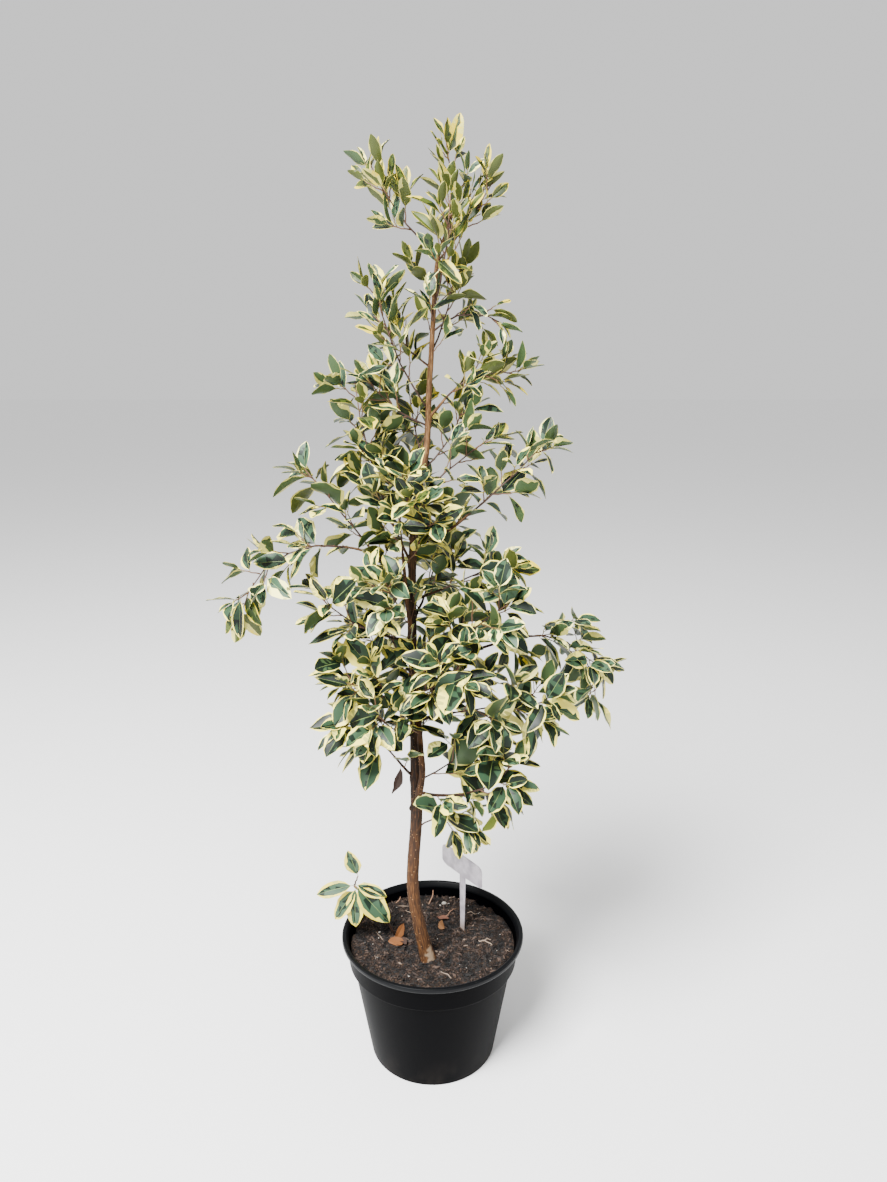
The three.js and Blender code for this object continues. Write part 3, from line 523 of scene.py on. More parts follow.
across = label_half[:, None] * label_across
rib_share = np.interp(label_heights, [176, 190, 296, 306], [0, 1, 1, 0])[:, None]
rib = RIB_DEPTH * np.exp(-(across / RIB_HALF_WIDTH) ** 2) * rib_share
bow = -BOW_DEPTH * (across / 53) ** 2 * np.clip((label_heights - PLATE_FOOT) / 10, 0, 1)[:, None]
front, rear = bow + rib - LABEL_HALF_THICKNESS, bow + rib + LABEL_HALF_THICKNESS
round_across = np.concatenate([across, across[:, ::-1]], axis=1)
round_depth = np.concatenate([front, rear[:, ::-1]], axis=1)
label_rings = np.stack([
    LABEL_X + round_across * np.cos(LABEL_TURN) - round_depth * np.sin(LABEL_TURN),
    LABEL_Y + round_across * np.sin(LABEL_TURN) + round_depth * np.cos(LABEL_TURN),
    np.broadcast_to(label_heights[:, None], round_across.shape),
], axis=-1)
label_points, label_fours, label_threes = skin(
    label_rings, label_rings[0].mean(axis=0), label_rings[-1].mean(axis=0))

label_white, nodes, links, shader = finish_start("label_white_plastic", 0.42)
place = nodes.new("ShaderNodeTexCoord").outputs["Object"]
height = nodes.new("ShaderNodeSeparateXYZ")
links.new(place, height.inputs[0])
grime = noise_at(nodes, links, place, (60, 60, 60), 4)
clean = ramp_of(nodes, links, grime, [
    (0.35, screen_colour(150, 143, 150)), (0.65, screen_colour(188, 182, 188)),
])
splash = mask_of(nodes, links, height.outputs["Z"], 0.222, 0.192)
links.new(mix_of(nodes, links, splash, clean, screen_colour(128, 112, 98)), shader.inputs["Base Color"])
label = make_piece("plant_label", label_points, label_fours, label_threes, [label_white])
edges = label.modifiers.new("edge_sharpness", "EDGE_SPLIT")
edges.split_angle = np.radians(50)
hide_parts("label")


# Trunk and second stem
# The leader and a second stem that leaves it low down and crosses in front of it. Thin brown bark with
# fine cracks, pale pores, low rings where boughs leave, two cut stubs and a worn pale patch at the foot.

# Each station: height, x, y and diameter
TRUNK = [
    (195.3, -7, -50, 23), (250, -20, -45, 20.5), (323, -31, -38, 19.5), (427, -25, -26, 19),
    (490, -25, -15, 18.5), (620, -27, -5, 15.5), (747, -30, 0, 13.5), (850, -28, 0, 12), (931, -21, 0, 10.5),
    (1003, -7, 0, 9.5), (1079, -3, 0, 8.5), (1176, 3, 0, 7), (1259, 9, 0, 5.5), (1298, 21, 0, 4.5),
    (1341, 36, 0, 3.6), (1358, 33, 0, 3.2),
]
SECOND_STEM = [
    (446, -25, -23, 11), (505, -15, -32, 10), (550, -17, -31, 9.4), (613, -21, -28, 8.6),
    (700, -26, -23, 7.4), (780, -36, -23, 6), (855, -42, -23, 4.4),
]
FOOT_IN_MIX = [0.6, -0.4, -6.3]
FLARE_HEIGHT, FLARE_SWELL, FLARE_LOBES, FLARE_DEPTH = 22.0, 0.2, 3, 0.35
bark_dice = np.random.default_rng(23)


def station_path(stations, steps):
    """The smooth curve through stations of (height, x, y, diameter): between stations p1 and p2, with
    slopes (p2 - p0) / 2 and (p3 - p1) / 2, it is the cubic with those ends and slopes. Returns points
    and radii at even steps of the stations' count."""
    station = np.array(stations, float)[:, [1, 2, 0, 3]]
    station = np.vstack([2 * station[0] - station[1], station, 2 * station[-1] - station[-2]])
    place = np.linspace(0, len(stations) - 1, steps + 1)
    i = np.minimum(place.astype(int), len(stations) - 2)
    t = (place - i)[:, None]
    p0, p1, p2, p3 = (station[i + k] for k in range(4))
    a, b = (p2 - p0) / 2, (p3 - p1) / 2
    curve = p1 + a * t + (3 * (p2 - p1) - 2 * a - b) * t ** 2 + (2 * (p1 - p2) + a + b) * t ** 3
    return curve[:, :3], curve[:, 3] / 2


def bark_relief(angle, along, cracks, depth, dice):
    """Height of the bark's relief: long shallow swells, and upright cracks that wander round the limb."""
    turn = angle / (2 * np.pi)
    wander = 0.35 * lattice_noise(turn * 3, along / 26, 211, 3, dice)
    crack = lattice_noise((turn + wander / cracks) * cracks, along / 7, 503, cracks, dice)
    fine = lattice_noise(turn * cracks * 2, along / 2.6, 997, cracks * 2, dice)
    swell = lattice_noise(turn * 4, along / 38, 211, 4, dice)
    return depth * (0.9 * swell - 0.8 * np.abs(crack) ** 0.7 + 0.45 * fine + 0.3)


def limb_skin(path, radius, sides, cracks, depth, dice, level=False, knots=()):
    """A limb with its bark: rings round the path whose radius is the limb's, plus the bark's relief and a
    knot e^(-(h/s)(h/s)) cos(a) cos(a) cos(a) at each (height, bearing, size, rise). A level limb has level
    rings and swells in three lobes towards the mix, by e^(-height/reach). Also gives where each point
    would be on a straight upright limb, so that the bark's pattern follows the limb, and the two ends."""
    angle = np.arange(sides) * 2 * np.pi / sides
    along = np.concatenate([[0], np.cumsum(np.linalg.norm(np.diff(path, axis=0), axis=1))])[:, None]
    reach = radius[:, None] + bark_relief(angle, along, cracks, depth, dice)
    if level:
        lobes = 1 + FLARE_DEPTH * np.cos(FLARE_LOBES * angle)
        flare = np.exp(-(path[:, 2:] - SOIL_LEVEL) / FLARE_HEIGHT)
        reach = reach + radius[:, None] * FLARE_SWELL * np.minimum(flare, 1.3) * lobes
        turn = np.stack([np.cos(angle), np.sin(angle), 0 * angle], axis=-1)[None]
    for height, bearing, size, rise in knots:
        facing = np.clip(np.cos(angle - np.radians(bearing)), 0, 1) ** 3
        reach = reach + rise * facing * np.exp(-((path[:, 2:] - height) / size) ** 2)
    if not level:
        turn = tube_rings(path[None], np.ones((1, len(path))), sides)[0] - path[:, None]
    rings = path[:, None] + turn * reach[:, :, None]
    straight = np.stack([reach * np.cos(angle), reach * np.sin(angle), along + 0 * angle], axis=-1)
    ends = (path[0], path[-1] + (path[-1] - path[-2]) * 0.6)
    return rings, straight, ends


# Each bough: its stem, the height where it leaves, its bearing, its rise at the foot and at the tip, its
# length and its diameter at the foot
BOUGHS = {
    "low_right": ("second", 476, -26, -2, 28, 95, 5.8), "low_left": ("trunk", 492, 197, 46, 56, 50, 5.0),
    "low_rear": ("trunk", 530, 78, 28, 36, 53, 5.2), "right_low": ("second", 598, -14, 18, 14, 59, 5.2),
    "right_droop": ("trunk", 655, 13, 26, 10, 178, 6.0), "rear_left": ("trunk", 655, 116, 20, 26, 56, 5.2),
    "right_middle": ("trunk", 670, -30, 30, 42, 57, 5.2), "left_middle": ("trunk", 715, 200, 10, 26, 59, 5.2),
    "rear_middle": ("trunk", 742, 66, 30, 44, 53, 5.0), "left_upper": ("trunk", 776, 176, 53, 52, 108, 5.8),
    "left_long": ("trunk", 792, 184, 64, 6, 126, 6.2), "right_forked": ("trunk", 778, -8, 20, 25, 50, 4.8),
    "left_upright": ("trunk", 834, 181, 60, 68, 45, 5.0), "right_upper": ("trunk", 862, -3, 16, 44, 94, 5.4),
    "rear_upper": ("trunk", 868, 108, 38, 52, 42, 4.8), "right_high": ("trunk", 1048, 7, 46, 52, 38, 4.8),
}
COLLAR_SIZE, COLLAR_RISE = 7, 1.6
collars = {stem: [(height + 1, bearing, COLLAR_SIZE, COLLAR_RISE)
                  for source, height, bearing, *_ in BOUGHS.values() if source == stem]
           for stem in ("trunk", "second")}
# Two cut stubs and three low swellings: height, bearing, size and rise
stubs = [(447, 215, 3.2, 3.6), (449, 335, 3.0, 3.4), (405, 250, 9, 0.9), (352, 300, 8, 0.8),
         (612, 230, 7, 1.2)]

trunk_path, trunk_radius = station_path(TRUNK, 470)
trunk_path = np.vstack([trunk_path[:1] + FOOT_IN_MIX, trunk_path])
trunk_radius = np.concatenate([trunk_radius[:1], trunk_radius])
second_path, second_radius = station_path(SECOND_STEM, 170)

bark, nodes, links, shader = finish_start("young_bark", 0.8, Specular_IOR_Level=0.25)
bark_place = nodes.new("ShaderNodeAttribute")
bark_place.attribute_name = "bark_place"
place = nodes.new("ShaderNodeTexCoord").outputs["Object"]
height = nodes.new("ShaderNodeSeparateXYZ")
links.new(place, height.inputs[0])
streak = noise_at(nodes, links, bark_place.outputs["Vector"], (520, 520, 70), 4)
patch = noise_at(nodes, links, bark_place.outputs["Vector"], (60, 60, 26), 3)
# Brown at the foot, darkened from 0.36 to 0.44 m up as painted shade under the crown, and young and tan
# from 0.78 to 1 m up
lower = ramp_of(nodes, links, streak, [
    (0.30, screen_colour(34, 19, 8)), (0.5, screen_colour(63, 38, 16)), (0.72, screen_colour(95, 61, 30)),
])
# Painted shade: darker browns for the trunk under the crown
upper = ramp_of(nodes, links, streak, [
    (0.34, screen_colour(16, 9, 4)), (0.5, screen_colour(35, 20, 9)), (0.68, screen_colour(64, 39, 19)),
])
young = ramp_of(nodes, links, streak, [
    (0.34, screen_colour(64, 42, 24)), (0.5, screen_colour(98, 69, 41)), (0.68, screen_colour(134, 99, 64)),
])
colour = mix_of(nodes, links, mask_of(nodes, links, height.outputs["Z"], 0.36, 0.44), lower, upper)
# How much of the foot's brown, free of the painted shade, a limb keeps
unshaded_share = nodes.new("ShaderNodeAttribute")
unshaded_share.attribute_name = "unshaded_bark"
colour = mix_of(nodes, links, unshaded_share.outputs["Fac"], colour, lower)
colour = mix_of(nodes, links, mask_of(nodes, links, height.outputs["Z"], 0.78, 1.0), colour, young)
shade = nodes.new("ShaderNodeMath")
shade.operation = "MULTIPLY"
shade.inputs[1].default_value = 0.55
links.new(mask_of(nodes, links, patch, 0.52, 0.7), shade.inputs[0])
colour = mix_of(nodes, links, shade.outputs[0], colour, screen_colour(34, 22, 17))
pores = nodes.new("ShaderNodeTexVoronoi")
pores.inputs["Scale"].default_value = 1.0
pore_place = nodes.new("ShaderNodeVectorMath")
pore_place.operation = "MULTIPLY"
pore_place.inputs[1].default_value = (150, 150, 230)
links.new(bark_place.outputs["Vector"], pore_place.inputs[0])
links.new(pore_place.outputs[0], pores.inputs["Vector"])
pore = mask_of(nodes, links, pores.outputs["Distance"], 0.17, 0.11)
colour = mix_of(nodes, links, pore, colour, screen_colour(132, 101, 70))
worn = nodes.new("ShaderNodeAttribute")
worn.attribute_name = "worn_patch"
links.new(mix_of(nodes, links, worn.outputs["Fac"], colour, screen_colour(128, 108, 86)),
          shader.inputs["Base Color"])
links.new(relief_of(nodes, links, streak, 0.0009), shader.inputs["Normal"])


WORN_MIDDLE = np.array([-1.0, -63.0, 211.0])
WORN_REACH = np.array([8.5, 12.0, 19.0])
WORN_TOP = 260


def bark_piece(name, limbs, nodes_replaced, pale=0.0):
    """One mesh over several limbs with the bark's finish, and as much of the lower trunk's brown, free of the
    painted shade higher up, as pale says. The worn patch is a soft spot at the trunk's foot: e^(-(d/r)(d/r))
    of the distance d from its middle, cut off by noise."""
    points, fours, threes, places = [], [], [], []
    start = 0
    for rings, straight, (first, last) in limbs:
        some, four, three = skin(rings, first, last, start)
        points.append(some)
        fours.append(four)
        threes.append(three)
        places += [straight.reshape(-1, 3), straight[0].mean(axis=0)[None], straight[-1].mean(axis=0)[None]]
        start += len(some)
    points = np.concatenate(points)
    piece = make_piece(name, points, np.concatenate(fours), np.concatenate(threes), [bark])
    mesh = piece.data
    place = mesh.attributes.new("bark_place", "FLOAT_VECTOR", "POINT")
    place.data.foreach_set("vector", (np.concatenate(places) * 0.001).astype(np.float32).ravel())
    away = (points - WORN_MIDDLE) / WORN_REACH
    ragged = 0.35 * lattice_noise(points[:, 0] / 3 + 60, points[:, 2] / 4, 97, 97, np.random.default_rng(5))
    patch = np.clip((np.exp(-(away ** 2).sum(axis=1)) + ragged * 0.7 - 0.32) / 0.2, 0, 1)
    spot = mesh.attributes.new("worn_patch", "FLOAT", "POINT")
    spot.data.foreach_set("value", np.where(points[:, 2] < WORN_TOP, patch, 0).astype(np.float32))
    share = mesh.attributes.new("unshaded_bark", "FLOAT", "POINT")
    share.data.foreach_set("value", np.full(len(points), pale, np.float32))
    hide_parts(*nodes_replaced)


trunk_limb = limb_skin(trunk_path, trunk_radius, sides=44, cracks=17, depth=0.26, dice=bark_dice, level=True,
                       knots=collars["trunk"] + stubs)
bark_piece("trunk_bark", [trunk_limb], ["trunk"])
second_limb = limb_skin(second_path, second_radius, sides=26, cracks=11, depth=0.3, dice=bark_dice,
                        knots=collars["second"])
# The second stem keeps most of the foot's brown and carries little of the painted shade
bark_piece("second_stem_bark", [second_limb], ["second_stem"], pale=0.8)


# Main boughs
# Sixteen boughs, each one tapering limb that leaves a stem in a low collar and ends where its foliage
# starts. They have the stem's bark, finer, and darker where the painted shade under the crown lies on it.
# Bearings and rises are in degrees.

BOUGH_TIP = 3.4
UP = np.array([0.0, 0.0, 1.0])


def heading(bearing, rise):
    """The direction with a bearing in plan and a rise above the level, both in degrees."""
    bearing, rise = np.radians(bearing), np.radians(rise)
    return np.stack([np.cos(rise) * np.cos(bearing), np.cos(rise) * np.sin(bearing), np.sin(rise)], axis=-1)


def arc_path(start, bearing, rise, end_rise, length, steps):
    """A path whose rise turns evenly from one angle to the other along its length."""
    middle = (np.arange(steps) + 0.5) / steps
    step = heading(bearing + 0 * middle, rise + (end_rise - rise) * middle) * length / steps
    return np.vstack([start, start + np.cumsum(step, axis=0)])


def at_height(path, height):
    """The point at a height on an upright path."""
    return np.array([np.interp(height, path[:, 2], path[:, axis]) for axis in range(3)])


def place_along(path, distance):
    """Points at distances along a path, and the path's direction at each."""
    steps = np.diff(path, axis=0)
    lengths = np.linalg.norm(steps, axis=1)
    along = np.concatenate([[0], np.cumsum(lengths)])
    distance = np.asarray(distance, float)
    point = np.stack([np.interp(distance, along, path[:, axis]) for axis in range(3)], axis=-1)
    return point, (steps / lengths[:, None])[np.clip(np.searchsorted(along, distance) - 1, 0, len(steps) - 1)]


stem_paths = {"trunk": station_path(TRUNK, 20)[0], "second": station_path(SECOND_STEM, 12)[0]}
bough_paths, bough_limbs = {}, []
for name, (source, height, bearing, rise, end_rise, length, thick) in BOUGHS.items():
    root = at_height(stem_paths[source], height)
    bough_paths[name] = arc_path(root, bearing, rise, end_rise, length, int(np.ceil(length / 36)))
    fine_path = arc_path(root, bearing, rise, end_rise, length, max(int(length / 2.5), 12))
    share = np.linspace(0, 1, len(fine_path))
    fine_path += 0.8 * np.sin(3 * np.pi * share)[:, None] * np.cross(heading(bearing, rise), UP)
    fine_radius = thick / 2 + (BOUGH_TIP - thick) / 2 * share
    bough_limbs.append(limb_skin(fine_path, fine_radius, sides=16, cracks=7, depth=0.2, dice=bark_dice))
bark_piece("bough_bark", bough_limbs, [f"bough_{name}" for name in BOUGHS])


# Twigs
# Slim shoots that carry the leaves. They grow by one seeded rule: a stem for each mass of foliage, side
# twigs in turn round it, then finer twigs and short spurs. Old wood is brown, young is tan, and the low
# shoot's stout wood is all brown.

# Each mass on a limb's tip: its reach, its rise at the end and the length of its side twigs
ON_LIMB = {
    "low_right": (90, 64, 48), "low_left": (106, 38, 56), "low_rear": (147, 45, 66),
    "right_low": (144, 8, 66), "right_droop": (208, -96, 44), "rear_left": (140, 32, 62),
    "right_middle": (143, 38, 62),
    "left_middle": (110, 52, 44), "rear_middle": (157, 60, 60), "left_upper": (146, 50, 36),
    "left_long": (212, -80, 42), "right_forked": (102, 32, 48), "left_upright": (232, 84, 56),
    "right_upper": (152, 48, 34), "rear_upper": (156, 72, 52), "right_high": (116, -16, 42),
    "stem_top": (100, 88, 48), "leader_top": (42, 84, 24),
}
# Each mass that starts at a stem: the stem, the height, its bearing, its rise, and then the same three
OFF_STEM = {
    "nodding": ("trunk", 412, -12, 55, 100, -40, 36), "low_centre": ("second", 500, 10, 24, 124, 40, 56),
    "low_front": ("trunk", 560, 230, 25, 125, 50, 58), "left_lower": ("trunk", 640, 205, 6, 116, 18, 58),
    "front_right": ("second", 640, 308, 22, 128, 45, 60), "front_left": ("trunk", 745, 246, 32, 120, 55, 54),
    "front_upper": ("trunk", 848, 284, 42, 105, 68, 50), "front_high": ("trunk", 890, 256, 40, 104, 70, 46),
    "shoulder_low": ("trunk", 932, -6, 46, 140, 34, 40), "shoulder_high": ("trunk", 975, 18, 36, 112, 74, 38),
    "rear_high": ("trunk", 985, 112, 45, 112, 72, 46), "left_high": ("trunk", 1038, 190, 18, 110, 58, 42),
    "left_near": ("trunk", 1060, 200, 52, 190, 80, 36), "rear_top": ("trunk", 1140, 50, 52, 122, 78, 46),
    "arching": ("trunk", 1168, -6, 50, 106, -36, 32), "left_crown": ("trunk", 1120, 184, 30, 96, 68, 40),
    "front_crown": ("trunk", 1200, 300, 58, 150, 86, 46), "top_left": ("trunk", 1268, 180, 38, 152, 66, 42),
    "top_right": ("trunk", 1262, -14, 46, 124, 58, 46),
}
SHOOT_RISE = 66
SHOOT_START = (-62.0, 6.0, SOIL_LEVEL + 0.3 + 1.6 * np.cos(np.radians(SHOOT_RISE)))
TWIG_SPACING, LEADER_SPACING, BARE_ON_TIP, LAST_TWIG_SHARE = 19.9, 14, 0.03, 0.94
TURN_APART = 137.5
LEAF_LOW_DOWN, LEAF_HIGH_UP = 64, 46
# The masses that are sparser or fuller than others at their height
HOW_LEAFY = {"left_long": 0.7, "right_droop": 0.85, "left_middle": 0.7, "arching": 0.65, "shoulder_low": 0.35,
             "left_upper": 0.75, "top_left": 0.9, "low_shoot": 0.0, "leader_top": 0.4, "front_crown": 1.0,
             "top_right": 1.2, "left_crown": 1.2, "right_upper": 0.8, "right_high": 0.9, "left_high": 0.6,
             "nodding": 0.6}
LOW_BITS = np.uint64(2 ** 32 - 1)
STIR_START, FIRST_STIR, SECOND_STIR = np.uint64(2166136261), np.uint64(2246822507), np.uint64(3266489909)


def chance(*keys):
    """A repeatable number from 0 to 1 for whole-number keys. Each key is added to a 32-bit number, which is
    then stirred by two large products and two shifts. A key may be an array."""
    value = STIR_START
    for key in keys:
        value = ((value ^ np.asarray(np.asarray(key) + 1, np.uint64)) * FIRST_STIR) & LOW_BITS
        value = value ^ (value >> np.uint64(13))
        value = (value * SECOND_STIR) & LOW_BITS
        value = value ^ (value >> np.uint64(16))
    return value / 2.0 ** 32


def scattered(spread, *keys):
    """A repeatable amount between minus and plus half a spread."""
    return spread * (chance(*keys) - 0.5)


def forked_from(stem, datum, turn, angle):
    """Directions that leave a stem at an angle, turned round the stem from a datum, in degrees:
    stem cos(angle) + (across cos(turn) + stem x across sin(turn)) sin(angle)."""
    across = np.cross(stem, datum)
    across /= np.linalg.norm(across, axis=-1, keepdims=True)
    turn, angle = np.radians(turn)[..., None], np.radians(angle)[..., None]
    out = across * np.cos(turn) + np.cross(stem, across) * np.sin(turn)
    return stem * np.cos(angle) + out * np.sin(angle)


def bearing_and_rise(direction):
    """The bearing and the rise of directions, in degrees."""
    bearing = np.degrees(np.arctan2(direction[..., 1], direction[..., 0]))
    return bearing, np.degrees(np.arcsin(np.clip(direction[..., 2], -1, 1)))


def side_twigs(path, count, bare, seed, twig, hang):
    """Side twigs leave a stem in turn round it and turn up a little, less where leaves hang. Each bends up
    evenly by some degrees from its foot to its tip. Returns paths of five points and their lengths."""
    k = np.arange(count)
    share = bare + (LAST_TWIG_SHARE - bare) * (k + 0.5) / count
    reach = np.linalg.norm(np.diff(path, axis=0), axis=1).sum()
    root, stem = place_along(path, share * reach)
    turn = TURN_APART * k + 360 * chance(seed, 0) + scattered(40, seed, k, 1)
    direction = forked_from(stem, np.array([0, 1, 0.3]), turn, 48 + scattered(16, seed, k, 2))
    bearing, rise = bearing_and_rise(direction)
    rise = rise + (1 - hang) * 12
    length = 3 + twig * (1 - 0.5 * share) * (1 + scattered(0.4, seed, k, 3))
    t = (np.arange(4) + 0.5) / 4
    bend = (t - 0.5) * (16 - 26 * hang)
    swing = scattered(26, seed, k, 30)[:, None] * (t - 0.5)
    steps = heading(bearing[:, None] + swing, rise[:, None] + bend) * (length / 4)[:, None, None]
    return np.concatenate([root[:, None], root[:, None] + np.cumsum(steps, axis=1)], axis=1), length


shoots = []


def add_shoot(path, seed, twig, kind, mass, leafy, hang, leaf):
    """Keeps a shoot: its path, its keys for the rule, its kind, its mass and how leaves stand on it."""
    shoots.append({"path": path, "seed": seed, "twig": twig, "kind": kind, "mass": mass, "leafy": leafy,
                   "hang": hang, "leaf": leaf})


def leaf_share(height):
    """0 at and below 450 mm, 1 at and above 1250 mm."""
    return float(np.clip((height - 450) / 800, 0, 1))


def hang_for(share):
    """How much leaves hang at a leaf_share: 0.5 - 0.6 of the share, and never less than 0."""
    return max(0.0, 0.5 - 0.6 * share)


def fullness(name, height):
    """How leafy a mass is: its own amount, or 1 up to 700 mm and less above, down to 0.82 at 1000 mm."""
    return HOW_LEAFY.get(name, 1.0 - 0.18 * float(np.clip((height - 700) / 300, 0, 1)))


def grow_mass(name, seed, start, bearing, rise, reach, end_rise, twig, bare, spacing=TWIG_SPACING, hang=None):
    """One mass: its stem, its side twigs and, where it is leafy, one finer twig on each side twig over 34 mm
    long and a second one over 48 mm."""
    share = leaf_share(start[2])
    leaf = LEAF_LOW_DOWN + (LEAF_HIGH_UP - LEAF_LOW_DOWN) * share
    hang = hang_for(share) if hang is None else hang
    path = arc_path(start, bearing, rise, end_rise, reach, int(np.ceil(reach / 28)))
    full = fullness(name, start[2])
    add_shoot(path, seed, -1, "stem", name, 0.5 * full * (1 - bare), hang, leaf)
    paths, lengths = side_twigs(path, int(round(reach / spacing)), bare, seed, twig, hang)
    for k, (side, length) in enumerate(zip(paths, lengths)):
        add_shoot(side, seed, k, "side", name, 0.85 * full, hang, leaf)
        if length > 34 and full > 0.8:
            finer, _ = side_twigs(side, 1 + (length > 48), 0.25, seed * 40 + k, 0.62 * length, hang)
            for j, fine in enumerate(finer):
                add_shoot(fine, seed * 40 + k, 50 + j, "fine", name, 0.8, hang, leaf * 0.92)


seed = 0
for name, (reach, end_rise, twig) in ON_LIMB.items():
    seed += 1
    source = {"stem_top": "second", "leader_top": "trunk"}.get(name)
    limb = stem_paths[source] if source else bough_paths[name]
    end = (limb[-1] - limb[-2]) / np.linalg.norm(limb[-1] - limb[-2])
    bearing, rise = bearing_and_rise(end)
    start = limb[-1] + (UP if source == "trunk" else end) * 0.3
    spacing = LEADER_SPACING if name == "leader_top" else TWIG_SPACING
    grow_mass(name, seed, start, bearing, rise, reach, end_rise, twig, BARE_ON_TIP, spacing)
for name, (source, height, bearing, rise, reach, end_rise, twig) in OFF_STEM.items():
    seed += 1
    hang = 1.0 if name in ("nodding", "arching") else None
    bare = 0.35 if name == "nodding" else 0.06 + 0.24 * leaf_share(height)
    start = at_height(stem_paths[source], height)
    grow_mass(name, seed, start, bearing, rise, reach, end_rise, twig, bare, TWIG_SPACING, hang)
grow_mass("low_shoot", seed + 1, np.array(SHOOT_START), bearing=184, rise=SHOOT_RISE, reach=120, end_rise=46,
          twig=22, bare=0.55, spacing=50, hang=0.3)

# The last twigs of the low shoot, of the leader and of the rear bough: bearing, rise and length
last_twigs = {}
LAST_TWIGS = {"low_shoot": (0, 68, 18), "leader_top": (190, 78, 22), "low_rear": (88, 12, 28)}
for name, (bearing, rise, length) in LAST_TWIGS.items():
    stem = next(shoot["path"] for shoot in shoots if shoot["mass"] == name and shoot["kind"] == "stem")
    last_twigs[name] = np.vstack([stem, arc_path(stem[-1], bearing, rise, rise, length, 3)[1:]])
    add_shoot(last_twigs[name][-4:], 0, 0, "spur", name, 0.0, 0.0, 0)


def add_spurs(path, seed, first, gap, last, length, limb):
    """Short leafy spurs in turn round a limb, a gap apart along it."""
    spot = np.arange(first, last, gap)
    if not len(spot):
        return
    k = np.arange(len(spot))
    root, stem = place_along(path, spot)
    turn = TURN_APART * k + 360 * chance(seed, 0) + scattered(50, seed, k, 1)
    direction = forked_from(stem, np.array([0, 1, 0.3]), turn, 58 + scattered(20, seed, k, 2))
    bearing, rise = bearing_and_rise(direction)
    reach = length * (1 + scattered(0.6, seed, k, 3))
    for k, point in enumerate(root):
        share = leaf_share(point[2])
        spur = arc_path(point, bearing[k], rise[k] + 6, rise[k] + 22, reach[k], 4)
        add_shoot(spur, seed, k, "spur", limb, 0.72, hang_for(share), 56 - 14 * share)


trunk_line = station_path(TRUNK, 60)[0]
second_line = station_path(SECOND_STEM, 30)[0]
add_spurs(trunk_line, seed=201, first=380, gap=42, last=760, length=34, limb="trunk")
add_spurs(trunk_line, seed=203, first=930, gap=21, last=1180, length=42, limb="trunk")
add_spurs(second_line, seed=202, first=130, gap=44, last=405, length=32, limb="second")
for number, path in enumerate(bough_paths.values()):
    length = np.linalg.norm(np.diff(path, axis=0), axis=1).sum()
    add_spurs(path, seed=210 + number, first=30, gap=40, last=length - 4, length=30, limb="bough")

mass_names = [*ON_LIMB, *OFF_STEM, "low_shoot"]
low_corner = np.array([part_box(f"leaves_{name}")[0] for name in mass_names]) * 1000
high_corner = np.array([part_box(f"leaves_{name}")[1] for name in mass_names]) * 1000
mass_boxes = dict(zip(mass_names, zip(low_corner, high_corner)))
crown_box = (low_corner.min(axis=0), high_corner.max(axis=0))
LEAF_SLACK, TWIG_SLACK = 10.0, 2


def within_reach(points, mass, slack):
    """True where points lie in their mass's box, grown by a slack. Spurs have the crown's box."""
    low, high = mass_boxes.get(mass, crown_box)
    return np.all((points > low - slack) & (points < high + slack), axis=-1)


shoots = [shoot for shoot in shoots
          if shoot["kind"] == "stem" or within_reach(shoot["path"][-1], shoot["mass"], TWIG_SLACK)]
# Radius at the foot and at the tip of each kind of twig
TWIG_SIZE = {"stem": (1.55, 0.8), "side": (1.15, 0.7), "fine": (0.85, 0.6), "spur": (1.0, 0.65)}
LOW_SHOOT_STOUTER = 1.5
TWIG_SIDES = 5


def even_path(path, count=6):
    """The same path with its points an even distance apart, and a slight zigzag at each leaf's place."""
    length = np.linalg.norm(np.diff(path, axis=0), axis=1).sum()
    point, along = place_along(path, np.linspace(0, length, count))
    sway = np.cross(along, np.array([0.3, 1, 0.2]))
    zigzag = 0.5 * (-1.0) ** np.arange(count) * (np.arange(count) > 0) * (np.arange(count) < count - 1)
    return point + sway * zigzag[:, None]


twig_paths = np.array([even_path(shoot["path"]) for shoot in shoots])
taper = np.linspace(0, 1, 6)
on_low_shoot = np.array([shoot["mass"] == "low_shoot" for shoot in shoots])
twig_sizes = np.array([TWIG_SIZE[shoot["kind"]] for shoot in shoots])
twig_sizes = twig_sizes * np.where(on_low_shoot, LOW_SHOOT_STOUTER, 1.0)[:, None]
twig_radius = twig_sizes[:, :1] + (twig_sizes[:, 1:] - twig_sizes[:, :1]) * taper
twig_points, twig_fours, twig_threes = joined_skins(tube_rings(twig_paths, twig_radius, TWIG_SIDES))
twig_finishes = [
    plain_finish("twig_brown", screen_colour(60, 39, 28), 0.7),
    plain_finish("twig_tan", screen_colour(94, 64, 44), 0.68),
    plain_finish("twig_young_green", screen_colour(116, 98, 46), 0.6),
]
wood = np.array([{"stem": 0, "side": 1, "fine": 2, "spur": 1}[shoot["kind"]] for shoot in shoots])
wood[on_low_shoot] = 0
younger_at_tip = np.repeat([0, 0, 0, 0, 1], TWIG_SIDES)
twig_colour = np.concatenate([(wood[:, None] + younger_at_tip).clip(0, 2).ravel(),
                              np.repeat(wood, 2 * TWIG_SIDES)])
mass_nodes = [f"leaves_{name}" for name in mass_boxes]
twigs = make_piece("twigs", twig_points, twig_fours, twig_threes, twig_finishes, twig_colour)
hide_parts(*mass_nodes)


# Leaves
# Leathery evergreen leaves on short stalks, close together at each shoot's tip: dark green with grey-green
# feathering, a thin pale midrib, a jagged cream margin that fills some leaves, and a paler underside.

# As shares of a leaf's length: its width, the places of the rows of points along it, and its stalk
WIDTH_SHARE = 0.53
STATIONS = np.array([0.20, 0.34, 0.49, 0.64, 0.78, 0.90])
STALK = 0.09
